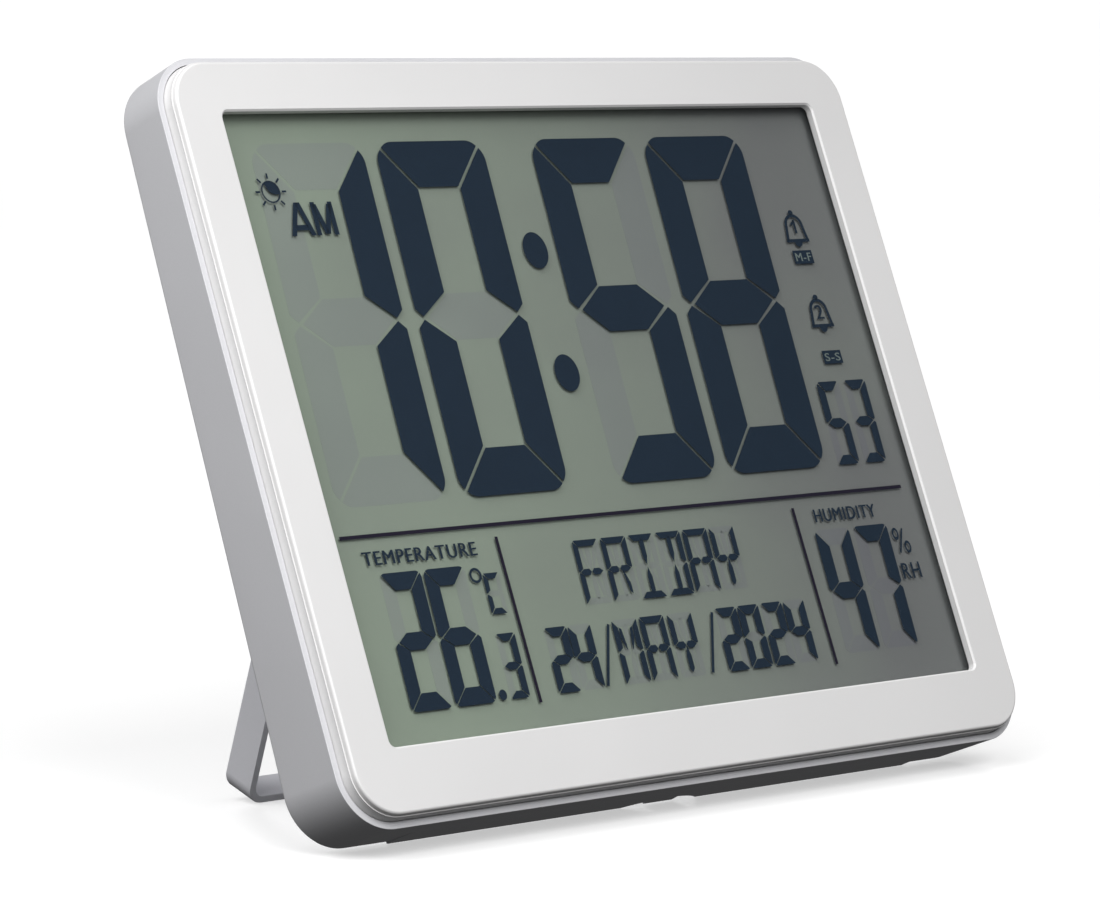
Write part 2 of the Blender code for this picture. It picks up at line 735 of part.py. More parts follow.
def cut_back_openings(case):
    for i in range(VENT_COUNT):
        x = VENT_X + (i - (VENT_COUNT - 1) / 2) * VENT_PITCH
        cut(
            case,
            box(
                f"vent_{i}",
                back,
                (x - VENT_HALF_WIDTH, x + VENT_HALF_WIDTH),
                (-BACK_WALL - BEYOND, BEYOND),
                (-VENT_HALF_HEIGHT, VENT_HALF_HEIGHT),
            ),
        )
    for i in range(SOUND_HOLES):
        angle = math.tau * i / (SOUND_HOLES - 1)
        ring = SOUND_RING if i else 0
        x = SOUNDER_X + ring * math.cos(angle)
        z = ring * math.sin(angle)
        start = (x, -BACK_WALL - BEYOND / 2, z)
        cut(case, cylinder(f"sound_hole_{i}", back, SOUND_HOLE, start, (x, BEYOND, z), steps=10))
    for side in (-1, 1):
        x = side * KEYHOLE_X
        start = (x, -BACK_WALL - BEYOND, KEYHOLE_Z)
        slot = box(
            f"keyhole_slot_{side}",
            back,
            (x - KEYHOLE_SLOT, x + KEYHOLE_SLOT),
            (-BACK_WALL - BEYOND, BEYOND),
            (KEYHOLE_Z, KEYHOLE_Z + KEYHOLE_RISE),
        )
        head = cylinder(f"keyhole_{side}", back, KEYHOLE_RADIUS, start, (x, BEYOND, KEYHOLE_Z))
        cut(case, head, slot)
    size = (2 * LABEL_HALF_WIDTH, 2 * LABEL_HALF_HEIGHT, LABEL_CORNER)
    cut(case, from_outline("label_recess", size, -LABEL_DEPTH, BEYOND, back))


def make_display():
    """Polariser, two glasses and reflector, each behind the one before."""
    layers = (
        ("display_polarizer", FILM, 0, DISPLAY_FILM),
        ("display_front_glass", GLASS, LEDGE, CLEAR_GLASS),
        ("display_rear_glass", GLASS, 0, CLEAR_GLASS),
        ("display_reflector", FILM, 0, DISPLAY_FILM),
    )
    front = DISPLAY_FRONT
    for name, thickness, ledge, finish in layers:
        box(
            name,
            face,
            (-DISPLAY_WIDTH / 2, DISPLAY_WIDTH / 2),
            (front, front + thickness),
            (DISPLAY_TOP - DISPLAY_HEIGHT, DISPLAY_TOP + ledge),
            finish=finish,
        )
        front += thickness + LAYER_GAP


def make_backplate():
    """Plate that holds the display in the bezel and carries the board."""
    size = (2 * BACKPLATE_HALF_WIDTH, BACKPLATE_HEIGHT, BACKPLATE_CORNER)
    plate_back = BACKPLATE_FRONT + BACKPLATE
    made = from_outline(
        "display_backplate",
        size,
        BACKPLATE_FRONT,
        plate_back,
        centre=(0, 0, BACKPLATE_RISE),
        finish=WHITE_PLASTIC,
    )
    for i, (x, z) in enumerate(PLATE_SCREWS):
        ear = cylinder(
            f"ear_{i}",
            face,
            EAR_RADIUS,
            (x, BACKPLATE_FRONT + EAR_STEP, z),
            (x, plate_back - EAR_STEP, z),
        )
        bridge = box(
            f"ear_bridge_{i}",
            face,
            sorted((math.copysign(BACKPLATE_HALF_WIDTH - BEYOND, x), x)),
            (BACKPLATE_FRONT + 2 * EAR_STEP, plate_back - 2 * EAR_STEP),
            (z - EAR_RADIUS + EAR_STEP, z + EAR_RADIUS - EAR_STEP),
        )
        through = (x, BACKPLATE_FRONT - BEYOND, z), (x, plate_back + BEYOND, z)
        join(made, ear, bridge)
        cut(made, cylinder(f"ear_hole_{i}", face, SMALL_HOLE, *through))
    for i, (x, z) in enumerate(BOARD_SCREWS):
        post = (x, plate_back - FLANGE / 2, z), (x, BOARD_FRONT - SCREW_LIFT, z)
        through = (x, BACKPLATE_FRONT - BEYOND, z), (x, BOARD_FRONT + BEYOND, z)
        join(made, cylinder(f"board_post_{i}", face, BOARD_POST, *post))
        cut(made, cylinder(f"board_post_hole_{i}", face, SMALL_HOLE, *through))
    cut(
        made,
        box(
            "connector_slot",
            face,
            (-CONNECTOR_HALF_WIDTH - 2 * SCREW_LIFT, CONNECTOR_HALF_WIDTH + 2 * SCREW_LIFT),
            (BACKPLATE_FRONT - BEYOND, plate_back + BEYOND),
            (CONNECTOR_LOW - SCREW_LIFT, CONNECTOR_HIGH + SCREW_LIFT),
        ),
    )


def make_connector():
    """Rubber connector strip from the front glass's ledge back to the board."""
    front = DISPLAY_FRONT + FILM + LAYER_GAP + GLASS + SCREW_LIFT
    box(
        "connector_strip",
        face,
        (-CONNECTOR_HALF_WIDTH, CONNECTOR_HALF_WIDTH),
        (front, BOARD_FRONT - SCREW_LIFT),
        (CONNECTOR_LOW, CONNECTOR_HIGH),
        finish=RUBBER,
    )


def make_board():
    board = box(
        "circuit_board",
        face,
        (-BOARD_HALF_WIDTH, BOARD_HALF_WIDTH),
        (BOARD_FRONT, BOARD_BACK),
        (BOARD_LOW, BOARD_HIGH),
        finish=BOARD_GREEN,
    )
    for i, (x, z) in enumerate(BOARD_SCREWS):
        start = (x, BOARD_FRONT - BEYOND, z)
        hole = cylinder(f"board_hole_{i}", face, SMALL_HOLE, start, (x, BOARD_BACK + BEYOND, z))
        cut(board, hole)
    seat = BOARD_BACK + SCREW_LIFT
    turned("driver_chip", face, CHIP_PROFILE, (0, seat, COMPONENT_RISE), EPOXY)
    crystal = [(x, seat + CRYSTAL_RADIUS, COMPONENT_RISE) for x in CRYSTAL_X]
    cylinder("quartz_crystal", face, CRYSTAL_RADIUS, *crystal, "X", NICKEL, edge=PIN_EDGE)
    base = (CAPACITOR_X, seat, COMPONENT_RISE)
    top = (CAPACITOR_X, seat + CAPACITOR_HEIGHT, COMPONENT_RISE)
    cylinder(
        "capacitor", face, CAPACITOR_RADIUS, base, top, finish=BLACK_PLASTIC, edge=BUTTON_EDGE
    )


def make_buttons():
    """Each button has a cap, a flange that keeps it in the case and a stem into its switch."""
    outside = back_depth(BUTTON_RISE) + BUTTON_PROUD
    wall_inside = back_depth(BUTTON_RISE) - BACK_WALL - 2 * BUTTON_GAP
    well_floor = SWITCH_BACK - SWITCH_WELL
    for name, x in button_places():
        centre = (x, outside, BUTTON_RISE)
        size = (BUTTON_WIDTH, BUTTON_HEIGHT, BUTTON_CORNER)
        shape = plate(name, rounded_rectangle(*size, steps=2), wall_inside - FLANGE / 2 - outside, 0)
        round_rim(shape, at_depth(shape, 0), BUTTON_EDGE, 1)
        cap = place(
            f"{name}_button", mesh_of(shape, name), face, centre, finish=GREY_PLASTIC
        )
        flange = box(
            f"{name}_flange",
            face,
            (x - BUTTON_WIDTH / 2 - FLANGE, x + BUTTON_WIDTH / 2 + FLANGE),
            (wall_inside - FLANGE, wall_inside),
            (BUTTON_RISE - BUTTON_HEIGHT / 2 - FLANGE, BUTTON_RISE + BUTTON_HEIGHT / 2 + FLANGE),
        )
        stem = cylinder(
            f"{name}_stem",
            face,
            STEM_RADIUS,
            (x, well_floor + PRESS_CLEARANCE, BUTTON_RISE),
            (x, wall_inside - FLANGE / 2, BUTTON_RISE),
            steps=10,
        )
        join(cap, flange, stem)
        make_switch(name, x, well_floor)


def make_switch(name, x, well_floor):
    housing = box(
        f"{name}_switch",
        face,
        (x - SWITCH_SIZE / 2, x + SWITCH_SIZE / 2),
        (BOARD_BACK + SWITCH_GAP, SWITCH_BACK),
        (BUTTON_RISE - SWITCH_SIZE / 2, BUTTON_RISE + SWITCH_SIZE / 2),
        finish=BLACK_PLASTIC,
    )
    end = (x, SWITCH_BACK + BEYOND, BUTTON_RISE)
    start = (x, well_floor, BUTTON_RISE)
    cut(housing, cylinder(f"{name}_well", face, STEM_RADIUS + BUTTON_GAP, start, end, steps=10))


def make_batteries():
    for i, (name, z) in enumerate(zip(("upper_battery", "lower_battery"), CELL_HEIGHTS)):
        toward = -1 if i == 0 else 1
        nub_end = nub_reach()
        body_end = nub_end - NUB_LENGTH
        can = cylinder(
            name,
            face,
            CELL_RADIUS,
            (toward * body_end, CELL_DEPTH, z),
            (toward * (nub_end - CELL_LENGTH), CELL_DEPTH, z),
            "X",
            CELL_JACKET,
            edge=CELL_EDGE,
            steps=20,
        )
        nub = cylinder(
            f"{name}_nub",
            face,
            NUB_RADIUS,
            (toward * (body_end - NUB_OVERLAP), CELL_DEPTH, z),
            (toward * nub_end, CELL_DEPTH, z),
            "X",
        )
        join(can, nub)
        if i == 0:
            make_contact("positive_contact", toward, (z,), ())
            make_contact("bridge_contact", -toward, CELL_HEIGHTS, (z,))
        else:
            make_contact("negative_contact", -toward, (z,), (z,))


def nub_reach():
    """Distance from the bay's middle to the tip of each cell's raised end."""
    return BAY_HALF_WIDTH - 2 * SCREW_LIFT - CONTACT - CELL_GAP


def make_contact(name, side, heights, springs):
    """Plate at one end of the bay, with a coil spring for each cell whose flat end meets it."""
    outer = side * (BAY_HALF_WIDTH - SCREW_LIFT)
    inner = outer - side * CONTACT
    contact = box(
        name,
        face,
        sorted((outer, inner)),
        (CELL_DEPTH - CONTACT_HALF, CELL_DEPTH + CONTACT_HALF),
        (min(heights) - CONTACT_HALF, max(heights) + CONTACT_HALF),
        finish=NICKEL,
    )
    spring_length = 2 * nub_reach() - CELL_LENGTH - CONTACT_GAP
    steps = 8 * SPRING_TURNS
    for i, z in enumerate(springs):
        points = []
        for step in range(steps + 1):
            angle = 2 * math.pi * step / 8
            along = inner + side * SPRING_WIRE / 2 - side * spring_length * step / steps
            points.append(
                (along, CELL_DEPTH + SPRING_RADIUS * math.cos(angle), z + SPRING_RADIUS * math.sin(angle))
            )
        join(contact, tube(f"{name}_spring_{i}", face, points, SPRING_WIRE))


def make_battery_door():
    middle, width, height = door_place()
    size = (width, height, DOOR_CORNER)
    door = from_outline(
        "battery_door", size, -DOOR_THICKNESS, 0, back, (0, 0, middle), finish=GREY_PLASTIC
    )
    latch_top = middle + height / 2 - DOOR_LEDGE - LATCH_INSET
    latch = box(
        "door_latch",
        back,
        (-LATCH_HALF_WIDTH, LATCH_HALF_WIDTH),
        (-LATCH_DEPTH, -DOOR_THICKNESS / 2),
        (latch_top - LATCH_THICKNESS, latch_top),
    )
    rib = box(
        "door_rib",
        back,
        (-RIB_HALF_WIDTH, RIB_HALF_WIDTH),
        (-DOOR_THICKNESS - RIB_DEPTH, -DOOR_THICKNESS / 2),
        (middle - RIB_HALF_HEIGHT, middle + RIB_HALF_HEIGHT),
    )
    grips = []
    for i in range(GRIP_COUNT):
        top = middle + height / 2 - GRIP_TOP - GRIP_PITCH * i
        across = (-GRIP_HALF_LENGTH, GRIP_HALF_LENGTH)
        depths = (-GRIP_DEPTH, BEYOND)
        grips.append(box(f"door_grip_{i}", back, across, depths, (top - GRIP_WIDTH, top)))
    join(door, latch, rib)
    cut(door, *grips)


def hinge_depth():
    """Depth of the stand's hinge axis below the front face."""
    return back_depth(HINGE_RISE) - HINGE_INSET / math.cos(WEDGE)


def lowest_of_case():
    """Height of the face frame's origin above the surface, with the pad's rear edge on it."""
    return PAD_DROP * math.cos(LEAN) + PAD_BACK * math.sin(LEAN)


def stand_tilt():
    """How far the opened stand leans from vertical."""
    return STAND_OPENING + WEDGE - LEAN


def stand_length():
    """Length from the hinge to the end of the stand that puts its front lower edge on the surface."""
    tilt = stand_tilt()
    hinge_height = (
        lowest_of_case() + HINGE_RISE * math.cos(LEAN) - hinge_depth() * math.sin(LEAN)
    )
    front_of_hinge = STRIP_DEPTH - STRIP_BEHIND_HINGE
    return (hinge_height - front_of_hinge * math.sin(tilt)) / math.cos(tilt)


def make_stand():
    """U-shaped strip on two pins, opened back from the case; its origin is on the hinge axis."""
    outline = bail_outline(STAND_HALF_WIDTH, ARM_ABOVE_HINGE, -stand_length(), STRIP, STAND_CORNER)
    front = STRIP_BEHIND_HINGE - STRIP_DEPTH
    shape = plate("stand", outline, front, STRIP_BEHIND_HINGE)
    top = [v for v in shape.verts if abs(v.co.z - ARM_ABOVE_HINGE) < 1e-5]
    across = [
        e
        for e in shape.edges
        if set(e.verts) <= set(top) and abs(e.verts[0].co.y - e.verts[1].co.y) < 1e-6
    ]
    bmesh.ops.bevel(
        shape, geom=across, offset=ARM_ROUNDING, segments=4, affect="EDGES", profile=0.5
    )
    hinge = (0, hinge_depth(), HINGE_RISE)
    stand = place(
        "stand", mesh_of(shape, "stand"), face, hinge, (WEDGE + STAND_OPENING, 0, 0), GREY_PLASTIC
    )
    for side in (-1, 1):
        x = side * (STAND_HALF_WIDTH - STRIP / 2)
        start = (x - STRIP, hinge[1], HINGE_RISE)
        end = (x + STRIP, hinge[1], HINGE_RISE)
        cut(stand, cylinder(f"arm_hole_{side}", face, PIN_HOLE, start, end, "X"))
        word = "left" if side < 0 else "right"
        start = (x - PIN_LENGTH / 2, hinge[1], HINGE_RISE)
        end = (x + PIN_LENGTH / 2, hinge[1], HINGE_RISE)
        cylinder(f"{word}_hinge_pin", face, PIN_RADIUS, start, end, "X", STEEL, edge=PIN_EDGE)


def make_case_screws():
    """Cross-head screws, each deep in its counterbore."""
    for i, (x, z) in enumerate(POSTS):
        top = COUNTERBORE_FLOOR + SCREW_LIFT + SCREW_HEAD_HEIGHT
        length = top - SCREW_TIP
        profile = [
            (0, 0),
            (SCREW_HEAD * 0.8, 0),
            (SCREW_HEAD, -SCREW_HEAD_HEIGHT * 0.4),
            (SCREW_HEAD, -SCREW_HEAD_HEIGHT),
            (SCREW_RADIUS, -SCREW_HEAD_HEIGHT),
            (SCREW_RADIUS, -length + SCREW_RADIUS),
            (0, -length),
        ]
        screw = turned(f"case_screw_{i + 1}", face, profile, (x, top, z), STEEL, steps=8)
        for turn in (0, math.pi / 2):
            slot = box(
                f"cross_{i}_{turn:.0f}",
                face,
                (-CROSS_HALF_WIDTH, CROSS_HALF_WIDTH),
                (-CROSS_DEPTH, BEYOND),
                (-CROSS_HALF_LENGTH, CROSS_HALF_LENGTH),
            )
            slot.location = (x, top + (BEYOND - CROSS_DEPTH) / 2, z)
            slot.rotation_euler = (0, turn, 0)
            cut(screw, slot)


def make_small_screws(word, places, seat, tip):
    for i, (x, z) in enumerate(places):
        top = seat + SCREW_LIFT + SMALL_HEAD_HEIGHT
        profile = [
            (0, 0),
            (SMALL_HEAD * 0.7, 0),
            (SMALL_HEAD, -SMALL_HEAD_HEIGHT),
            (SMALL_SCREW, -SMALL_HEAD_HEIGHT),
            (SMALL_SCREW, tip - top),
            (0, tip - top),
        ]
        turned(f"{word}_screw_{i + 1}", face, profile, (x, top, z), STEEL, steps=8)


def make_sounder_and_sensor():
    inside = back_depth(0) - BACK_WALL - 2 * SCREW_LIFT
    cylinder(
        "sounder",
        face,
        SOUNDER_RADIUS,
        (SOUNDER_X, inside - SOUNDER_HEIGHT, 0),
        (SOUNDER_X, inside, 0),
        finish=BLACK_PLASTIC,
        edge=SOUNDER_EDGE,
        steps=24,
    )
    sensor = box(
        "climate_sensor",
        face,
        (VENT_X - SENSOR_HALF_WIDTH, VENT_X + SENSOR_HALF_WIDTH),
        (inside - SENSOR_BOARD[1], inside - SENSOR_BOARD[0]),
        (-SENSOR_HALF_HEIGHT, SENSOR_HALF_HEIGHT),
        finish=BOARD_GREEN,
    )
    block = box(
        "sensor_block",
        face,
        (VENT_X - SENSOR_BLOCK_HALF, VENT_X + SENSOR_BLOCK_HALF),
        (inside - SENSOR_BLOCK_DEPTH, inside),
        (-SENSOR_BLOCK_HALF, SENSOR_BLOCK_HALF),
    )
    join(sensor, block)


def make_leads():
    """Wires from the battery contacts, the sounder and the sensor to the board."""
    start_x = -BAY_HALF_WIDTH - BAY_WALL
    end_depth = BOARD_BACK + SCREW_LIFT + WIRE_RADIUS
    inside = back_depth(0) - BACK_WALL - 2 * SCREW_LIFT
    parts_front = inside - SOUNDER_HEIGHT - SCREW_LIFT
    routes = {
        "positive_lead": [
            (start_x + 0.0006, CELL_DEPTH, CELL_HEIGHTS[0]),
            (start_x - 0.0030, CELL_DEPTH, CELL_HEIGHTS[0] + 0.0005),
            (start_x - 0.0060, 0.0140, -0.0460),
            (-0.0400, LEAD_DEPTH, -0.0200),
            (-0.0360, LEAD_DEPTH, 0.0150),
            (-0.0340, end_depth, 0.0360),
            (-0.0340, end_depth, 0.0400),
        ],
        "negative_lead": [
            (start_x + 0.0006, CELL_DEPTH, CELL_HEIGHTS[1]),
            (start_x - 0.0040, CELL_DEPTH, CELL_HEIGHTS[1] + 0.0005),
            (start_x - 0.0100, 0.0140, -0.0600),
            (-0.0450, LEAD_DEPTH, -0.0250),
            (-0.0410, LEAD_DEPTH, 0.0150),
            (-0.0390, end_depth, 0.0360),
            (-0.0390, end_depth, 0.0400),
        ],
        "sounder_lead": [
            (SOUNDER_X + 0.0040, parts_front - WIRE_RADIUS, 0.0060),
            (SOUNDER_X + 0.0060, parts_front - 0.0030, 0.0140),
            (SOUNDER_X + 0.0080, LEAD_DEPTH, 0.0240),
            (SOUNDER_X + 0.0080, end_depth, 0.0360),
            (SOUNDER_X + 0.0080, end_depth, 0.0400),
        ],
        "sensor_lead": [
            (VENT_X - 0.0040, parts_front - WIRE_RADIUS, 0.0030),
            (VENT_X - 0.0050, parts_front - 0.0030, 0.0120),
            (VENT_X - 0.0080, LEAD_DEPTH, 0.0240),
            (VENT_X - 0.0080, end_depth, 0.0360),
            (VENT_X - 0.0080, end_depth, 0.0400),
        ],
    }
    for name, knots in routes.items():
        finish = RED_WIRE if name == "positive_lead" else BLACK_WIRE
        tube(name, face, smooth_route(knots, 2), WIRE_RADIUS, finish)


def clear_scene():
    for thing in list(bpy.data.objects):
        bpy.data.objects.remove(thing)


HINGE_RISE_ON_BACK = HINGE_RISE / math.cos(WEDGE) - HINGE_INSET * math.tan(WEDGE)

clear_scene()
parts = collection("digital_desk_clock")
helpers = collection("cutters")

# The row's origin is under the middle of the clock: half way from the frame's front lower edge
# to the rear edge of the opened stand.
hinge_back = HINGE_RISE * math.sin(LEAN) + hinge_depth() * math.cos(LEAN)
stand_back = (
    hinge_back
    + STRIP_BEHIND_HINGE * math.cos(stand_tilt())
    + stand_length() * math.sin(stand_tilt())
)
face_front = -FACE_HEIGHT / 2 * math.sin(LEAN)
face = frame("face_frame", None, (0, -(stand_back + face_front) / 2, lowest_of_case()), -LEAN)
back = frame("back_frame", face, (0, DEPTH_MIDDLE, 0), WEDGE)

make_front_bezel()
make_rear_case()
make_display()
make_backplate()
make_connector()
make_board()
make_buttons()
make_batteries()
make_battery_door()
make_stand()
make_case_screws()
make_small_screws("plate", PLATE_SCREWS, BACKPLATE_FRONT + BACKPLATE, PLATE_SCREW_TIP)
make_small_screws("board", BOARD_SCREWS, BOARD_BACK, BOARD_SCREW_TIP)
make_sounder_and_sensor()
make_leads()
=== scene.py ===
import json
import math

import bmesh
import bpy
from mathutils import Euler, Matrix, Vector


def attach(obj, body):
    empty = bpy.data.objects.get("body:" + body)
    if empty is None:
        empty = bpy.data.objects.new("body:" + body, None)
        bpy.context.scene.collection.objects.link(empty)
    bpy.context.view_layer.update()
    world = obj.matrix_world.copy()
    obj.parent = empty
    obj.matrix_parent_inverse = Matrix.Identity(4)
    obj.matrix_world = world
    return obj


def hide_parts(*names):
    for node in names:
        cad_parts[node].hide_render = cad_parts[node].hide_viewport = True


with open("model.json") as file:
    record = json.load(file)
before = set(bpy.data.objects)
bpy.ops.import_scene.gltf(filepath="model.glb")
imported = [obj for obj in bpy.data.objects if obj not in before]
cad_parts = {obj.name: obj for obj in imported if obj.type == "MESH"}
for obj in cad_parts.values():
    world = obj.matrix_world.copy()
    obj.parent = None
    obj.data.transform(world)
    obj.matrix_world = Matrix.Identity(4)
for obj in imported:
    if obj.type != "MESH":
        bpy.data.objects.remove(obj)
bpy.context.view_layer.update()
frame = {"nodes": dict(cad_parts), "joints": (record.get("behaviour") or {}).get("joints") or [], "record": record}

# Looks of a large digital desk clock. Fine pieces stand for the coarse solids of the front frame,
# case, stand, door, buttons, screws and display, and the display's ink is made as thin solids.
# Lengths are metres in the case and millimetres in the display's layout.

MM = 0.001

# Front frame
FACE_SIZE = (0.2500, 0.2059, 0.0125)
FACE_EDGE = 0.0008
FACE_THICKNESS = 0.0024
FACE_RAISE = 0.0044
WALL_FLARE = 0.0008
SKIRT_INSET = 0.0004
SKIRT_WALL = 0.0020
SKIRT_END = 0.0110
WINDOW_SIZE = (0.2217, 0.1744, 0.0020)
WINDOW_RISE = 0.0017
WINDOW_CHAMFER = 0.0005

# Rear case
CASE_MARGIN = 0.0028
CASE_EDGE = 0.0012
RIM_EDGE = 0.0003
CASE_WALL = 0.0018
BACK_WALL = 0.0024
DEPTH_TOP = 0.0205
DEPTH_BOTTOM = 0.0274
BOTTOM_DRAFT = 0.0010
CASE_HEIGHT = FACE_SIZE[1] + 2 * CASE_MARGIN
WEDGE = math.atan((DEPTH_BOTTOM - DEPTH_TOP) / CASE_HEIGHT)
DEPTH_MIDDLE = (DEPTH_TOP + DEPTH_BOTTOM) / 2
PAD_HALF_WIDTH = 0.0980
PAD_DROP = 0.1053
PAD_FRONT = 0.0080
PAD_BACK = DEPTH_BOTTOM - 0.0005
PAD_EDGE = 0.0003
SCOOP_HALF_WIDTH = 0.0150
SCOOP_DEPTH = 0.0060
SCOOP_HEIGHT = 0.0032
CATCH_HALF_WIDTH = 0.0055
CATCH_HALF_LENGTH = 0.0030
CATCH_THICKNESS = 0.0010
CATCH_BACK = 0.0023
CATCH_DROP = math.radians(-5)

# Battery bay and door
BAY_HALF_WIDTH = 0.0295
BAY_LOW = -0.0774
BAY_HIGH = -0.0436
BAY_FLOOR = 0.0085
BAY_WALL = 0.0014
DOOR_LEDGE = 0.0034
DOOR_THICKNESS = 0.0013
DOOR_RECESS = 0.0016
DOOR_GAP = 0.0003
DOOR_CORNER = 0.0018
DOOR_EDGE = 0.00025
LATCH_HALF_WIDTH = 0.0050
LATCH_DEPTH = 0.0055
LATCH_THICKNESS = 0.0010
LATCH_INSET = 0.0006
GRIP_COUNT = 4
GRIP_PITCH = 0.0018
GRIP_WIDTH = 0.0008
GRIP_HALF_LENGTH = 0.0080
GRIP_CORNER = 0.49 * GRIP_WIDTH
GRIP_DEPTH = 0.0004
GRIP_TOP = 0.0052
NOTCH_RADIUS = 0.0075
NOTCH_OFFSET = 0.0015

# Stand and its channel
STRIP = 0.0022
STRIP_DEPTH = 0.0111
STRIP_EDGE = 0.0003
STAND_HALF_WIDTH = 0.0849
STAND_CORNER = 0.0052
INNER_CORNER = 0.0008
HINGE_RISE = 0.0190
HINGE_INSET = 0.0037
STRIP_BEHIND_HINGE = 0.0034
ARM_ABOVE_HINGE = 0.0030
ARM_ROUNDING = 0.0028
CHANNEL_CLEARANCE = 0.0004
CHANNEL_DEPTH = 0.0120
CHANNEL_WALL = 0.0015
CHANNEL_TOP = 0.0049
PIN_HOLE = 0.00145
PIN_LENGTH = 0.0082
STAND_OPENING = math.radians(39.8)

# Buttons
BUTTON_NAMES = ("alarm", "snooze", "mode", "minus", "plus", "set")
BUTTON_PITCH = 0.0200
BUTTON_RISE = 0.0560
BUTTON_SIZE = (0.0100, 0.0062, 0.0010)
BUTTON_EDGE = 0.0004
BUTTON_GAP = 0.0003
BUTTON_PANEL_DEPTH = 0.0008
BUTTON_PANEL_HEIGHT = 0.0150
BUTTON_PANEL_CORNER = 0.0040
BUTTON_PROUD = 0.0002
FLANGE = 0.0010
STEM_RADIUS = 0.0016
STEM_FRONT = 0.0124

# Screws
POSTS = [(side * 0.1185, height) for side in (-1, 1) for height in (-0.0965, 0.0, 0.0965)]
POST_RADIUS = 0.0042
POST_FRONT = 0.0130
BOSS_RADIUS = 0.0035
BOSS_END = 0.0127
SCREW_RADIUS = 0.0014
SCREW_HOLE = 0.0017
SCREW_HEAD = 0.0028
SCREW_HEAD_HEIGHT = 0.0018
SCREW_DOME = 0.4 * SCREW_HEAD_HEIGHT
SCREW_TURN = 0.5
SCREW_TIP = 0.0050
SCREW_LIFT = 0.0003
COUNTERBORE = 0.0034
COUNTERBORE_FLOOR = 0.0150
CROSS_HALF_WIDTH = 0.0003
CROSS_HALF_LENGTH = 0.0016
CROSS_DEPTH = 0.0009

# Openings in the back
VENT_X = 0.0600
VENT_COUNT = 6
VENT_PITCH = 0.0032
VENT_HALF_WIDTH = 0.0008
VENT_HALF_HEIGHT = 0.0070
VENT_CORNER = 0.99 * VENT_HALF_WIDTH
SOUNDER_X = -0.0600
SOUND_HOLE = 0.0011
SOUND_HOLES = 7
SOUND_RING = 0.0050
KEYHOLE_X = 0.0600
KEYHOLE_Z = 0.0780
KEYHOLE_RADIUS = 0.0042
KEYHOLE_SLOT = 0.0021
KEYHOLE_RISE = 0.0090
LABEL_SIZE = (0.0700, 0.0360, 0.0020)
LABEL_DEPTH = 0.0003
LABEL_THICKNESS = 0.0001

# Fineness of the curved shapes, the angles that count as edges, how close points have to be to
# count as one, and how far a cutting tool reaches past what it cuts
CORNER_STEPS = 20
ROUND_STEPS = 32
EDGE_STEPS = 4
HOLE_STEPS = 24
DISC_STEPS = 40
BAR_STEPS = 5
NOTCH_STEPS = 64
SCOOP_STEPS = 160
FLOOR_STEPS = 96
RIM_ANGLE = math.radians(50)
SHARP_ANGLE = math.radians(32)
TINY = 1e-6
INK_TINY = 1e-7
BEYOND = 0.0020

# Display: its outline, the depths of its layers, how the layout moves and widens with depth, the
# slant of its digits, shares of a bar's thickness, and the spacing of words
DISPLAY_SIZE = (0.2269, 0.1796, 0.0006)
PANE_FRONT = 0.0027
PANE_BACK = 0.0041
WORDS_FRONT = 0.00411
WORDS_BACK = 0.00412
INK_FRONT = 0.00413
INK_BACK = 0.00417
GHOST_FRONT = 0.00496
GHOST_BACK = 0.00498
REFLECTOR_FRONT = 0.00499
REFLECTOR_BACK = 0.0056
LAYOUT_DEPTH = 0.00267
SHIFT_RIGHT = 1.05
SHIFT_UP = 0.28
SPREAD = 1.2
SLANT = math.tan(math.radians(1.5))
BAR_MITRE = 0.707
BAR_TIP = 0.32
BAR_SHOULDER = 0.23
BAR_NOSE = 0.10
BAR_FOOT = 0.21
LETTER_SPACING = 1.12

# Strengths of the light from all round and of the floor's own glow, and where the lamps point
AMBIENT = 0.07
FLOOR_GLOW = 0.5
LIT_POINT = Vector((0, 0, 0.1))

# Camera, measured from the middle of the front face
CAMERA_PLACE = Vector((-0.8764, -0.9184, 0.09815))
CAMERA_AIM = Vector((0.6770, 0.7306, -0.0881))
CAMERA_LENS = 151.8
SENSOR_WIDTH = 36.0


def joint(name):
    return next(j for j in frame["joints"] if j["name"] == name)


def back_depth(height):
    """Depth of the case's rear surface at a height on the face."""
    return DEPTH_MIDDLE - height * math.tan(WEDGE)


def hinge_depth():
    return back_depth(HINGE_RISE) - HINGE_INSET / math.cos(WEDGE)


press = Vector(joint("set_press")["axis"])
LEAN = math.atan2(press.z, -press.y)
HINGE = Vector(joint("stand_hinge")["pos_m"])
TURN = Matrix.Rotation(-LEAN, 4, "X")
FACE = Matrix.Translation(HINGE - TURN @ Vector((0, hinge_depth(), HINGE_RISE))) @ TURN
BACK = FACE @ Matrix.Translation((0, DEPTH_MIDDLE, 0)) @ Matrix.Rotation(WEDGE, 4, "X")
HINGE_RISE_ON_BACK = HINGE_RISE / math.cos(WEDGE) - HINGE_INSET * math.tan(WEDGE)


# ---- Shapes ----


def add_object(name, data):
    made = bpy.data.objects.new(name, data)
    bpy.context.scene.collection.objects.link(made)
    return made


def placed(name, shape, where, location=(0, 0, 0), turn=(0, 0, 0)):
    """Makes an object of a bmesh, placed in one of the frames."""
    mesh = bpy.data.meshes.new(name)
    shape.to_mesh(mesh)
    shape.free()
    made = add_object(name, mesh)
    made.matrix_world = where @ Matrix.Translation(location) @ Euler(turn).to_matrix().to_4x4()
    return made


def arc(centre, radius, first, last, steps):
    """Points along an arc, in degrees."""
    angles = [math.radians(first + (last - first) * i / steps) for i in range(steps + 1)]
    return [(centre[0] + radius * math.cos(a), centre[1] + radius * math.sin(a)) for a in angles]


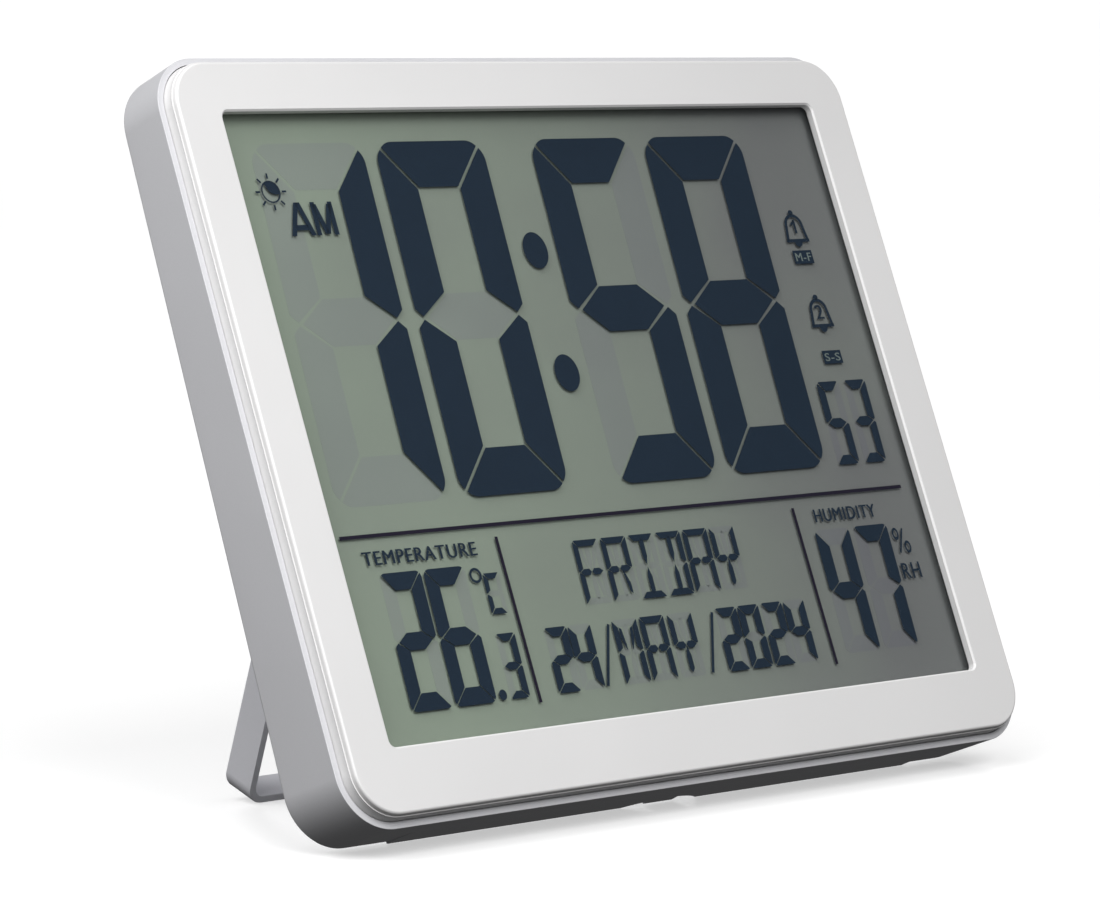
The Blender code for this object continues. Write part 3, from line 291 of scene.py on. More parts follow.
def rounded_rectangle(width, height, radius, steps=CORNER_STEPS):
    points = []
    for across, up, first in ((1, 1, 0), (-1, 1, 90), (-1, -1, 180), (1, -1, 270)):
        centre = (across * (width / 2 - radius), up * (height / 2 - radius))
        points += arc(centre, radius, first, first + 90, steps)
    return points


def grown(size, amount):
    """A rounded rectangle's (width, height, corner radius), offset by an amount all round."""
    width, height, corner = size
    return width + 2 * amount, height + 2 * amount, corner + amount


def both_ways(half):
    return -half, half


def past(value, limit):
    """How far a value lies beyond a limit on either side of zero."""
    return value - max(-limit, min(limit, value))


def spread(points, size, amount):
    """Moves points on a rounded rectangle straight outwards, in the face plane."""
    width, height, corner = size
    for v in points:
        across = past(v.co.x, width / 2 - corner)
        up = past(v.co.z, height / 2 - corner)
        v.co += Vector((across, 0, up)).normalized() * amount


def add_prism(shape, outline, front, back):
    """Adds a flat outline in the face plane, from one depth to another."""
    rings = [[shape.verts.new((x, depth, z)) for x, z in outline] for depth in (front, back)]
    for cap in rings:
        shape.faces.new(cap)
    for i in range(len(outline)):
        shape.faces.new((rings[0][i - 1], rings[0][i], rings[1][i], rings[1][i - 1]))


def add_band(shape, outer, inner, front, back):
    """Adds the closed band between two outlines with the same number of points."""
    paths = ((outer, front), (inner, front), (inner, back), (outer, back))
    rings = [[shape.verts.new((x, depth, z)) for x, z in outline] for outline, depth in paths]
    for first, second in zip(rings, rings[1:] + rings[:1]):
        for i in range(len(outer)):
            shape.faces.new((first[i - 1], first[i], second[i], second[i - 1]))


def plate(outline, front, back):
    shape = bmesh.new()
    add_prism(shape, outline, front, back)
    bmesh.ops.recalc_face_normals(shape, faces=shape.faces)
    return shape


def at_depth(shape, depth):
    return [v for v in shape.verts if abs(v.co.y - depth) < TINY]


def bevel(shape, edges, radius, steps):
    bmesh.ops.bevel(shape, geom=edges, offset=radius, segments=steps, affect="EDGES", profile=0.5)


def round_rim(shape, points, radius, steps=EDGE_STEPS):
    """Rounds the edges between these points where a cap meets a side."""
    chosen = set(points)
    rim = [e for e in shape.edges if set(e.verts) <= chosen and e.calc_face_angle() > RIM_ANGLE]
    bevel(shape, rim, radius, steps)


def box(name, where, x, y, z, edge=0.0):
    shape = bmesh.new()
    bmesh.ops.create_cube(shape, size=1)
    bmesh.ops.scale(shape, vec=(x[1] - x[0], y[1] - y[0], z[1] - z[0]), verts=shape.verts)
    if edge:
        bevel(shape, shape.edges, edge, 2)
    return placed(name, shape, where, (sum(x) / 2, sum(y) / 2, sum(z) / 2))


def cylinder(name, where, radius, start, end, axis="Y", steps=ROUND_STEPS):
    """Round bar from start to end along one axis of its frame."""
    shape = bmesh.new()
    bmesh.ops.create_cone(
        shape, cap_ends=True, segments=steps, radius1=radius, radius2=radius, depth=math.dist(start, end)
    )
    turn = {"X": (0, math.pi / 2, 0), "Y": (-math.pi / 2, 0, 0), "Z": (0, 0, 0)}[axis]
    return placed(name, shape, where, [(a + b) / 2 for a, b in zip(start, end)], turn)


def peg(name, where, radius, spot, start, end, steps=ROUND_STEPS):
    """Round bar from one depth to another at an (x, z) spot."""
    x, z = spot
    return cylinder(name, where, radius, (x, start, z), (x, end, z), steps=steps)


def rounded_block(name, size, front, back, where, centre=(0, 0, 0)):
    return placed(name, plate(rounded_rectangle(*size), front, back), where, centre)


def lathe(profile, steps):
    """Shape turned about Z from a profile of (radius, height)."""
    shape = bmesh.new()
    points = [shape.verts.new((radius, 0, height)) for radius, height in profile]
    edges = [shape.edges.new(pair) for pair in zip(points, points[1:])]
    turn = {"cent": (0, 0, 0), "axis": (0, 0, 1), "angle": math.tau, "steps": steps}
    bmesh.ops.spin(shape, geom=points + edges, use_merge=True, **turn)
    bmesh.ops.remove_doubles(shape, verts=shape.verts, dist=TINY)
    bmesh.ops.recalc_face_normals(shape, faces=shape.faces)
    return shape


def change(target, kind, tools):
    """Cuts tools from a piece or joins them to it, and keeps them until the piece is settled."""
    for tool in tools:
        modifier = target.modifiers.new(tool.name, "BOOLEAN")
        modifier.operation = kind
        modifier.object = tool


def cut(target, *tools):
    change(target, "DIFFERENCE", tools)


def join(target, *tools):
    change(target, "UNION", tools)


def settle(piece, body, slot, replaced=(), look=None):
    """Applies a piece's modifiers, puts its place in its mesh and hands it to a body.

    It wears the look of its slot, unless another is named.
    """
    tools = [m.object for m in piece.modifiers]
    bpy.context.view_layer.update()
    evaluated = piece.evaluated_get(bpy.context.evaluated_depsgraph_get())
    mesh = bpy.data.meshes.new_from_object(evaluated)
    mesh.transform(piece.matrix_world)
    shape = bmesh.new()
    shape.from_mesh(mesh)
    bmesh.ops.dissolve_degenerate(shape, dist=TINY, edges=shape.edges)
    shape.to_mesh(mesh)
    shape.free()
    piece.modifiers.clear()
    piece.data = mesh
    piece.matrix_world = Matrix.Identity(4)
    for tool in tools:
        bpy.data.objects.remove(tool)
    mesh.shade_smooth()
    mesh.set_sharp_from_angle(angle=SHARP_ANGLE)
    normals = piece.modifiers.new("even shading", "WEIGHTED_NORMAL")
    normals.keep_sharp = True
    mesh.materials.clear()
    mesh.materials.append(LOOKS[look or slot])
    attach(piece, body)
    if replaced:
        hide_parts(*replaced)


# ---- Materials ----


def node(tree, kind, **inputs):
    """Adds a node and sets its inputs by name, with underscores for spaces."""
    made = tree.nodes.new(kind)
    for name, value in inputs.items():
        made.inputs[name.replace("_", " ")].default_value = value
    return made


def noise(tree, scale, detail=3.0, roughness=0.55, stretch=(1, 1, 1)):
    """Noise over the object's own coordinates, in metres; scale is in cycles a metre."""
    place = tree.nodes.new("ShaderNodeTexCoord")
    turned = node(tree, "ShaderNodeMapping", Scale=stretch)
    made = node(tree, "ShaderNodeTexNoise", Scale=scale, Detail=detail, Roughness=roughness)
    tree.links.new(place.outputs["Object"], turned.inputs["Vector"])
    tree.links.new(turned.outputs["Vector"], made.inputs["Vector"])
    return made


def ranged(tree, source, low, high, start=0.3, end=0.7):
    """Maps a value from start..end to low..high."""
    made = node(tree, "ShaderNodeMapRange", From_Min=start, From_Max=end, To_Min=low, To_Max=high)
    tree.links.new(source, made.inputs["Value"])
    return made.outputs["Result"]


def blend(tree, factor):
    """Node that mixes two colours by a factor."""
    made = tree.nodes.new("ShaderNodeMix")
    made.data_type = "RGBA"
    tree.links.new(factor, made.inputs["Factor"])
    return made


def tinted(tree, factor, first, second):
    made = blend(tree, factor)
    made.inputs["A"].default_value = (*first, 1)
    made.inputs["B"].default_value = (*second, 1)
    return made.outputs["Result"]


def along(tree, axis):
    """One of the object's own coordinates, in metres."""
    place = tree.nodes.new("ShaderNodeTexCoord")
    parts = tree.nodes.new("ShaderNodeSeparateXYZ")
    tree.links.new(place.outputs["Object"], parts.inputs["Vector"])
    return parts.outputs[axis]


def shaded(colour, amount):
    return tuple(c * amount for c in colour)


def shading(material):
    """A material's node tree and its shader."""
    return material.node_tree, material.node_tree.nodes["Principled BSDF"]


def finish(name, colour, roughness, grain=2500.0, depth=0.0, mottle=30.0, variation=0.03, **settings):
    """Material with slow mottling in colour and roughness and a fine surface grain.

    grain and mottle are in cycles a metre and depth in metres; settings go to the shader's sockets.
    """
    made = bpy.data.materials.new(name)
    made.use_nodes = True
    tree, shader = shading(made)
    for socket, value in settings.items():
        shader.inputs[socket.replace("_", " ")].default_value = value
    slow = noise(tree, mottle)
    fine = noise(tree, grain, detail=2.0)
    mixed = node(tree, "ShaderNodeMath")
    mixed.operation = "ADD"
    tree.links.new(slow.outputs["Fac"], mixed.inputs[0])
    tree.links.new(fine.outputs["Fac"], mixed.inputs[1])
    factor = ranged(tree, mixed.outputs["Value"], 0, 1, 0.7, 1.3)
    colours = tinted(tree, factor, shaded(colour, 1 - variation), shaded(colour, 1 + variation))
    tree.links.new(colours, shader.inputs["Base Color"])
    rough = ranged(tree, slow.outputs["Fac"], roughness * 0.92, roughness * 1.08)
    tree.links.new(rough, shader.inputs["Roughness"])
    if depth:
        bump = node(tree, "ShaderNodeBump", Distance=depth, Strength=1.0)
        tree.links.new(fine.outputs["Fac"], bump.inputs["Height"])
        tree.links.new(bump.outputs["Normal"], shader.inputs["Normal"])
    return made


def make_looks():
    """One material for each slot of the record, and those of the display's ink."""
    paint = {"Metallic": 0.10, "Specular_IOR_Level": 0.3}
    satin = {"Metallic": 0.10}
    metal = {"Metallic": 1.0}
    dull = {"Specular_IOR_Level": 0.05}
    moulded = (0.50, 2600, 0.000012, 25, 0.02)
    printed = (0.6, 3000, 0, 60, 0.05)
    rows = [
        ("silver_paint", paint, (0.70, 0.695, 0.695), 0.52, 5000, 0.000004, 18, 0.012),
        ("case_plastic", satin, (0.566, 0.567, 0.588), *moulded),
        ("stand_plastic", satin, (0.73, 0.732, 0.77), *moulded),
        ("button_plastic", {}, (0.30, 0.305, 0.32), 0.42, 3000, 0.000006),
        ("display_glass", {"Alpha": 0.02}, (0.75, 0.80, 0.78), 0.10),
        ("white_plastic", {}, (0.75, 0.76, 0.76), 0.5),
        ("rubber", {}, (0.05, 0.05, 0.05), 0.8, 1500, 0.00001),
        ("epoxy", {}, (0.02, 0.02, 0.02), 0.35, 800, 0.00002),
        ("nickel", metal, (0.70, 0.68, 0.63), 0.25, 4000, 0.000003),
        ("steel", metal, (0.62, 0.62, 0.63), 0.30, 4000, 0.000004),
        ("black_plastic", {}, (0.03, 0.03, 0.035), 0.5, 2500, 0.00001),
        ("red_wire", {}, (0.5, 0.03, 0.03), 0.45, 3000, 0.000004),
        ("black_wire", {}, (0.02, 0.02, 0.02), 0.45, 3000, 0.000004),
        ("pane", {"Alpha": 0.03}, (0.10, 0.13, 0.16), 0.5, 6000, 0.000003, 20, 0.02),
        ("ink", dull, (0.009, 0.018, 0.032), *printed),
        ("rule_ink", dull, (0.010, 0.006, 0.016), *printed),
        ("clear_words", dull, (0.13, 0.16, 0.15), *printed),
        ("label_film", {}, (0.62, 0.62, 0.63), 0.35, 2000, 0.000003, 12, 0.02),
    ]
    made = {name: finish(name, *values, **settings) for name, settings, *values in rows}
    made["board"] = make_board_look()
    made["cell_jacket"] = make_cell_look()
    # Each reflector colour, with the darker grey of its painted shade on the right.
    for name, green, painted_shade_grey in (
        ("display_film", (0.220, 0.264, 0.209), (0.143, 0.149, 0.146)),
        ("ghost_ink", (0.206, 0.237, 0.208), (0.133, 0.137, 0.145)),
    ):
        made[name] = make_reflector_look(name, green, painted_shade_grey)
    return made


def make_reflector_look(name, green, painted_shade_grey):
    """Reflector with a fine sparkle and painted shade: its colour drifts from green on the left to a darker grey
    on the right.
    """
    made = finish(name, green, 0.62, 4500, 0.000006, 14, 0.02, Specular_IOR_Level=0.1)
    tree, shader = shading(made)
    base = shader.inputs["Base Color"].links[0].from_socket
    # Painted shade: the share of the darker grey grows from left to right across the display.
    across = ranged(tree, along(tree, "X"), -0.15, 0.9, -DISPLAY_SIZE[0] / 2, DISPLAY_SIZE[0] / 2)
    clouds = ranged(tree, noise(tree, 9, 2.0, 0.5, (1, 1, 1.6)).outputs["Fac"], 0.0, 0.3, 0.42, 0.68)
    both = node(tree, "ShaderNodeMath")
    both.use_clamp = True
    tree.links.new(across, both.inputs[0])
    tree.links.new(clouds, both.inputs[1])
    mix = blend(tree, both.outputs["Value"])
    tree.links.new(base, mix.inputs["A"])
    mix.inputs["B"].default_value = (*painted_shade_grey, 1)
    tree.links.new(mix.outputs["Result"], shader.inputs["Base Color"])
    return made


def recoloured(made, factor, first, second):
    """A material whose colour follows a factor of its own."""
    tree, shader = shading(made)
    tree.links.new(tinted(tree, factor, first, second), shader.inputs["Base Color"])
    return made


def make_board_look():
    """Green solder mask with the faint relief of its tracks."""
    made = finish("board", (0.02, 0.15, 0.06), 0.4, 900, 0.00001)
    tree = made.node_tree
    tracks = node(tree, "ShaderNodeTexWave", Scale=160, Distortion=6)
    place = tree.nodes.new("ShaderNodeTexCoord")
    tree.links.new(place.outputs["Object"], tracks.inputs["Vector"])
    factor = ranged(tree, tracks.outputs["Fac"], 0, 1, 0.45, 0.55)
    return recoloured(made, factor, (0.015, 0.11, 0.045), (0.03, 0.20, 0.08))


def make_cell_look():
    """Plain battery jacket in two colours with a steel-coloured end."""
    made = finish("cell_jacket", (0.10, 0.16, 0.30), 0.3, 2500, 0.000002)
    tree = made.node_tree
    band = ranged(tree, along(tree, "X"), 0, 1, 0.0095, 0.0100)
    return recoloured(made, band, (0.06, 0.10, 0.24), (0.52, 0.47, 0.36))


# ---- Front frame and case ----


def window_tools():
    """The straight window, and the chamfer round its front edge."""
    centre = (0, 0, WINDOW_RISE)
    through = rounded_block("window", WINDOW_SIZE, -BEYOND, FACE_THICKNESS + BEYOND, FACE, centre)
    shape = plate(rounded_rectangle(*WINDOW_SIZE), -WINDOW_CHAMFER, WINDOW_CHAMFER)
    spread(at_depth(shape, -WINDOW_CHAMFER), WINDOW_SIZE, 2 * WINDOW_CHAMFER)
    return through, placed("window_chamfer", shape, FACE, centre)


def make_front_frame():
    outline = rounded_rectangle(*FACE_SIZE)
    shape = plate(outline, 0, FACE_RAISE + SKIRT_INSET)
    spread(at_depth(shape, FACE_RAISE + SKIRT_INSET), FACE_SIZE, WALL_FLARE)
    round_rim(shape, at_depth(shape, 0), FACE_EDGE)
    piece = placed("front_frame", shape, FACE)
    skirt = grown(FACE_SIZE, WALL_FLARE - SKIRT_INSET)
    pocket = grown(skirt, -SKIRT_WALL)
    join(piece, rounded_block("skirt", skirt, FACE_EDGE * 2, SKIRT_END, FACE))
    cut(piece, rounded_block("pocket", pocket, FACE_THICKNESS, SKIRT_END + BEYOND, FACE))
    for i, spot in enumerate(POSTS):
        join(piece, peg(f"boss_{i}", FACE, BOSS_RADIUS, spot, FACE_THICKNESS - CASE_EDGE, BOSS_END))
        pilot = (SCREW_TIP - SCREW_LIFT, BOSS_END + BEYOND)
        cut(piece, peg(f"pilot_{i}", FACE, SCREW_HOLE, spot, *pilot))
    cut(piece, *window_tools())
    settle(piece, "clock", "silver_paint", ["front_bezel"])


def case_shape(inset, front, back_inset):
    """Wedge-shaped block that follows the case's outside, set in by a wall thickness."""
    size = grown(FACE_SIZE, CASE_MARGIN - inset)
    shape = plate(rounded_rectangle(*size), front, DEPTH_MIDDLE)
    rear = at_depth(shape, DEPTH_MIDDLE)
    for v in rear:
        v.co.y = back_depth(v.co.z) - back_inset
        if v.co.z < 0:
            v.co.z += BOTTOM_DRAFT
    return shape, rear


def bail_outline(half_width, top, bottom, wall, corner):
    """U-shaped outline open at the top: down the outside and back up the inside."""
    outer = arc((half_width - corner, bottom + corner), corner, 0, -90, CORNER_STEPS)
    inner_corner = max(corner - wall, INNER_CORNER)
    inner_centre = (half_width - wall - inner_corner, bottom + wall + inner_corner)
    inner = arc(inner_centre, inner_corner, 0, -90, CORNER_STEPS)
    right = [(half_width, top), *outer]
    left = [(-x, z) for x, z in reversed(right)]
    inside = [(half_width - wall, top), *inner]
    return right + left + [(-x, z) for x, z in inside] + list(reversed(inside))


def lowest_of_case():
    """Height of the face frame's origin above the surface."""
    return PAD_DROP * math.cos(LEAN) + PAD_BACK * math.sin(LEAN)


def stand_length():
    """Length from the hinge to the end of the stand that puts its front lower edge on the surface."""
    tilt = STAND_OPENING + WEDGE - LEAN
    hinge_height = lowest_of_case() + HINGE_RISE * math.cos(LEAN) - hinge_depth() * math.sin(LEAN)
    front_of_hinge = STRIP_DEPTH - STRIP_BEHIND_HINGE
    return (hinge_height - front_of_hinge * math.sin(tilt)) / math.cos(tilt)


def channel(name, clearance, top, floor, outside):
    """The channel that the folded stand lies in, grown by a clearance."""
    outline = bail_outline(
        STAND_HALF_WIDTH + clearance,
        HINGE_RISE_ON_BACK + top,
        HINGE_RISE_ON_BACK - stand_length() - clearance,
        STRIP + 2 * clearance,
        STAND_CORNER + clearance,
    )
    return placed(name, plate(outline, -floor, outside), BACK)


def door_place():
    """Height of the door's middle on the back, and its width and height."""
    scale = 1 / math.cos(WEDGE)
    height = (BAY_HIGH - BAY_LOW) * scale + 2 * DOOR_LEDGE - 2 * DOOR_GAP
    return (BAY_LOW + BAY_HIGH) / 2 * scale, 2 * (BAY_HALF_WIDTH + DOOR_LEDGE - DOOR_GAP), height


def make_case():
    shape, rear = case_shape(0, FACE_RAISE, 0)
    round_rim(shape, rear, CASE_EDGE)
    round_rim(shape, at_depth(shape, FACE_RAISE), RIM_EDGE, 2)
    piece = placed("case_shell", shape, FACE)
    hollow, _ = case_shape(CASE_WALL, FACE_RAISE - BEYOND, BACK_WALL)
    cut(piece, placed("hollow", hollow, FACE))
    add_posts(piece)
    add_bay(piece)
    upright = (-PAD_DROP, -PAD_DROP + CASE_WALL)
    pad = box("pad", FACE, both_ways(PAD_HALF_WIDTH), (PAD_FRONT, PAD_BACK), upright, PAD_EDGE)
    join(piece, pad)
    add_channel(piece)
    add_scoop(piece)
    cut_button_panel(piece)
    cut_openings(piece)
    settle(piece, "clock", "case_plastic", ["rear_case"])


def add_posts(piece):
    out = DEPTH_BOTTOM + BEYOND
    for i, spot in enumerate(POSTS):
        wall = back_depth(spot[1]) - BACK_WALL / 2
        join(piece, peg(f"post_{i}", FACE, POST_RADIUS, spot, POST_FRONT, wall))
        cut(piece, peg(f"post_hole_{i}", FACE, SCREW_HOLE, spot, POST_FRONT - BEYOND, out))
        cut(piece, peg(f"counterbore_{i}", FACE, COUNTERBORE, spot, COUNTERBORE_FLOOR, out))


def add_bay(piece):
    across = both_ways(BAY_HALF_WIDTH + BAY_WALL)
    deep = (BAY_FLOOR - FLANGE, DEPTH_MIDDLE)
    outer = box("bay_walls", FACE, across, deep, (BAY_LOW - BAY_WALL, BAY_HIGH + BAY_WALL))
    deep = (BAY_FLOOR, DEPTH_BOTTOM + BEYOND)
    inside = box("bay", FACE, both_ways(BAY_HALF_WIDTH), deep, (BAY_LOW, BAY_HIGH))
    middle, width, height = door_place()
    size = grown((width, height, DOOR_CORNER), DOOR_GAP)
    recess = rounded_block("door_recess", size, -DOOR_RECESS, BEYOND, BACK, (0, 0, middle))
    spot = (0, middle + height / 2 + NOTCH_OFFSET)
    notch = peg("thumb_notch", BACK, NOTCH_RADIUS, spot, -DOOR_RECESS / 2, BEYOND, NOTCH_STEPS)
    join(piece, outer)
    cut(piece, inside, recess, notch)


def add_channel(piece):
    walls = channel(
        "channel_walls",
        CHANNEL_CLEARANCE + CHANNEL_WALL,
        CHANNEL_TOP + CHANNEL_WALL,
        CHANNEL_DEPTH + CHANNEL_WALL,
        -BACK_WALL / 2,
    )
    join(piece, walls)
    cut(piece, channel("channel_slot", CHANNEL_CLEARANCE, CHANNEL_TOP, CHANNEL_DEPTH, BEYOND))
    cut_pin_holes(piece, PIN_LENGTH / 2 + BEYOND)


def cut_pin_holes(piece, reach):
    """Holes on the hinge's axis, as long as this either side of each arm of the stand."""
    for side in (-1, 1):
        x = side * (STAND_HALF_WIDTH - STRIP / 2)
        ends = (x - reach, hinge_depth(), HINGE_RISE), (x + reach, hinge_depth(), HINGE_RISE)
        cut(piece, cylinder(f"pin_hole_{side}", FACE, PIN_HOLE, *ends, "X"))


def add_scoop(piece):
    """Shallow arc cut from the bottom wall for a fingertip, with the stand's catch left in it."""
    radius = (SCOOP_HALF_WIDTH**2 + SCOOP_DEPTH**2) / (2 * SCOOP_DEPTH)
    centre = DEPTH_BOTTOM - SCOOP_DEPTH + radius
    ends = (0, centre, -CASE_HEIGHT / 2 - BEYOND), (0, centre, -PAD_DROP + SCOOP_HEIGHT)
    cut(piece, cylinder("scoop", FACE, radius, *ends, "Z", steps=SCOOP_STEPS))
    halves = (CATCH_HALF_WIDTH, CATCH_HALF_LENGTH, CATCH_THICKNESS / 2)
    catch = box("catch", FACE, *map(both_ways, halves))
    place = (0, DEPTH_BOTTOM - SCOOP_DEPTH + CATCH_BACK, -PAD_DROP + CATCH_THICKNESS)
    catch.matrix_world = FACE @ Matrix.Translation(place) @ Matrix.Rotation(CATCH_DROP, 4, "X")
    join(piece, catch)


def button_places():
    count = len(BUTTON_NAMES)
    return [(name, (i - (count - 1) / 2) * BUTTON_PITCH) for i, name in enumerate(BUTTON_NAMES)]


def cut_button_panel(piece):
    width = BUTTON_PITCH * len(BUTTON_NAMES) + BUTTON_PANEL_CORNER
    size = (width, BUTTON_PANEL_HEIGHT, BUTTON_PANEL_CORNER)
    centre = (0, 0, BUTTON_RISE / math.cos(WEDGE))
    cut(piece, rounded_block("panel", size, -BUTTON_PANEL_DEPTH, BEYOND, BACK, centre))
    inner = back_depth(BUTTON_RISE) - BACK_WALL - BEYOND
    for name, x in button_places():
        hole = grown(BUTTON_SIZE, BUTTON_GAP)
        cut(piece, rounded_block(f"{name}_hole", hole, inner, DEPTH_BOTTOM, FACE, (x, 0, BUTTON_RISE)))


def cut_openings(piece):
    through = (-BACK_WALL - BEYOND, BEYOND)
    for i in range(VENT_COUNT):
        x = VENT_X + (i - (VENT_COUNT - 1) / 2) * VENT_PITCH
        size = (2 * VENT_HALF_WIDTH, 2 * VENT_HALF_HEIGHT, VENT_CORNER)
        cut(piece, rounded_block(f"vent_{i}", size, *through, BACK, (x, 0, 0)))
    for i in range(SOUND_HOLES):
        angle = math.tau * i / (SOUND_HOLES - 1)
        radius = SOUND_RING if i else 0
        spot = (SOUNDER_X + radius * math.cos(angle), radius * math.sin(angle))
        depths = (through[0] + BEYOND / 2, BEYOND)
        cut(piece, peg(f"sound_hole_{i}", BACK, SOUND_HOLE, spot, *depths, HOLE_STEPS))
    for side in (-1, 1):
        x = side * KEYHOLE_X
        slot = arc((x, KEYHOLE_Z + KEYHOLE_RISE - KEYHOLE_SLOT), KEYHOLE_SLOT, 0, 180, 12)
        slot += [(x - KEYHOLE_SLOT, KEYHOLE_Z), (x + KEYHOLE_SLOT, KEYHOLE_Z)]
        head = peg(f"keyhole_{side}", BACK, KEYHOLE_RADIUS, (x, KEYHOLE_Z), *through)
        cut(piece, head, placed(f"keyhole_slot_{side}", plate(slot, *through), BACK))
    cut(piece, rounded_block("label_recess", LABEL_SIZE, -LABEL_DEPTH, BEYOND, BACK))


def make_label():
    """Blank film in the recess on the back."""
    size = grown(LABEL_SIZE, -2 * LABEL_THICKNESS)
    front = -LABEL_DEPTH + LABEL_THICKNESS / 2
    piece = rounded_block("label_film", size, front, front + LABEL_THICKNESS, BACK)
    settle(piece, "clock", "white_plastic", look="label_film")


# ---- Moving pieces and screws ----


def make_door():
    middle, width, height = door_place()
    shape = plate(rounded_rectangle(width, height, DOOR_CORNER, 8), -DOOR_THICKNESS, 0)
    round_rim(shape, at_depth(shape, 0), DOOR_EDGE, 2)
    piece = placed("door_cover", shape, BACK, (0, 0, middle))
    latch_top = middle + height / 2 - DOOR_LEDGE - LATCH_INSET
    deep = (-LATCH_DEPTH, -DOOR_THICKNESS / 2)
    upright = (latch_top - LATCH_THICKNESS, latch_top)
    join(piece, box("latch", BACK, both_ways(LATCH_HALF_WIDTH), deep, upright))
    for i in range(GRIP_COUNT):
        top = middle + height / 2 - GRIP_TOP - GRIP_PITCH * i
        size = (2 * GRIP_HALF_LENGTH, GRIP_WIDTH, GRIP_CORNER)
        centre = (0, 0, top - GRIP_WIDTH / 2)
        cut(piece, rounded_block(f"grip_{i}", size, -GRIP_DEPTH, BEYOND, BACK, centre))
    settle(piece, "battery_door", "case_plastic", ["battery_door"])


def make_buttons():
    """Each button has a cap, a flange that keeps it in the case and a stem into its switch."""
    outside = back_depth(BUTTON_RISE) + BUTTON_PROUD
    wall = back_depth(BUTTON_RISE) - BACK_WALL - 2 * BUTTON_GAP
    half_width, half_height = BUTTON_SIZE[0] / 2 + FLANGE, BUTTON_SIZE[1] / 2 + FLANGE
    for name, x in button_places():
        shape = plate(rounded_rectangle(*BUTTON_SIZE, 8), wall - FLANGE / 2, outside)
        round_rim(shape, at_depth(shape, outside), BUTTON_EDGE, 3)
        piece = placed(f"{name}_key", shape, FACE, (x, 0, BUTTON_RISE))
        across = (x - half_width, x + half_width)
        upright = (BUTTON_RISE - half_height, BUTTON_RISE + half_height)
        flange = box(f"{name}_flange", FACE, across, (wall - FLANGE, wall), upright)
        spot = (x, BUTTON_RISE)
        stem = peg(f"{name}_stem", FACE, STEM_RADIUS, spot, STEM_FRONT, wall - FLANGE / 2)
        join(piece, flange, stem)
        settle(piece, f"{name}_button", "button_plastic", [f"{name}_button"])


def make_stand():
    """U-shaped strip on two pins, opened back from the case."""
    outline = bail_outline(STAND_HALF_WIDTH, ARM_ABOVE_HINGE, -stand_length(), STRIP, STAND_CORNER)
    front = STRIP_BEHIND_HINGE - STRIP_DEPTH
    shape = plate(outline, front, STRIP_BEHIND_HINGE)
    top = {v for v in shape.verts if abs(v.co.z - ARM_ABOVE_HINGE) < TINY}
    across = [e for e in shape.edges if abs(e.verts[0].co.y - e.verts[1].co.y) < TINY]
    bevel(shape, [e for e in across if set(e.verts) <= top], ARM_ROUNDING, 8)
    bevel(shape, [e for e in shape.edges if e.calc_face_angle() > RIM_ANGLE], STRIP_EDGE, 2)
    hinge = (0, hinge_depth(), HINGE_RISE)
    piece = placed("stand_loop", shape, FACE, hinge, (WEDGE + STAND_OPENING, 0, 0))
    cut_pin_holes(piece, STRIP)
    settle(piece, "stand", "stand_plastic", ["stand"])


def make_screws():
    """Cross-head case screws with domed heads, each deep in its counterbore."""
    top = COUNTERBORE_FLOOR + SCREW_LIFT + SCREW_HEAD_HEIGHT
    length = top - SCREW_TIP
    angles = [math.radians(15 * i) for i in range(7)]
    head = [(SCREW_HEAD * math.sin(a), -SCREW_DOME * (1 - math.cos(a))) for a in angles]
    shank = [
        (SCREW_HEAD, -SCREW_HEAD_HEIGHT),
        (SCREW_RADIUS, -SCREW_HEAD_HEIGHT),
        (SCREW_RADIUS, -length + SCREW_RADIUS),
        (0, -length),
    ]
    turn = (-math.pi / 2, 0, 0)
    sides = both_ways(CROSS_HALF_WIDTH), (-CROSS_DEPTH, BEYOND), both_ways(CROSS_HALF_LENGTH)
    for i, (x, z) in enumerate(POSTS):
        piece = placed(f"case_fixing_{i + 1}", lathe(head + shank, ROUND_STEPS), FACE, (x, top, z), turn)
        for angle in (0, math.pi / 2):
            slot = box(f"cross_{i}_{angle:.0f}", FACE, *sides)
            place = Matrix.Translation((x, top + (BEYOND - CROSS_DEPTH) / 2, z))
            slot.matrix_world = FACE @ place @ Matrix.Rotation(angle + SCREW_TURN * i, 4, "Y")
            cut(piece, slot)
        settle(piece, "clock", "steel", [f"case_screw_{i + 1}"])


# ---- Display ----


def make_panes():
    """Matte front pane, and the reflective sheet a glass thickness behind the ink."""
    size, centre = (*DISPLAY_SIZE, EDGE_STEPS), (0, 0, WINDOW_RISE)
    pane = rounded_block("display_pane", size, PANE_FRONT, PANE_BACK, FACE, centre)
    settle(pane, "clock", "display_glass", ["display_polarizer", "display_front_glass"], "pane")
    sheet = rounded_block("reflective_sheet", size, REFLECTOR_FRONT, REFLECTOR_BACK, FACE, centre)
    settle(sheet, "clock", "display_film", ["display_rear_glass", "display_reflector"])


DIGIT_SEGMENTS = {
    "0": "abcdef", "1": "bc", "2": "abged", "3": "abgcd", "4": "fgbc",
    "5": "afgcd", "6": "afgedc", "7": "abc", "8": "abcdefg", "9": "abcdfg", "C": "afed",
}
LETTER_SEGMENTS = {
    "A": "abcefgG", "D": "abcdil", "F": "aefgG", "I": "adil", "M": "bcefhj", "R": "abefgGk",
    "Y": "bfgGl",
}


def corner_arc(corner, radius, across, up, first, last):
    """Stretch of a rounded corner; across and up point from the corner into the cell."""
    centre = (corner[0] + across * radius, corner[1] + up * radius)
    return arc(centre, radius, first, last, BAR_STEPS)


def mirrored(outline, centre):
    """An outline turned left to right about an upright line."""
    return [(2 * centre - x, z) for x, z in reversed(outline)]


def flipped(outline, middle):
    """An outline turned top to bottom about a level line."""
    return [(x, 2 * middle - z) for x, z in reversed(outline)]


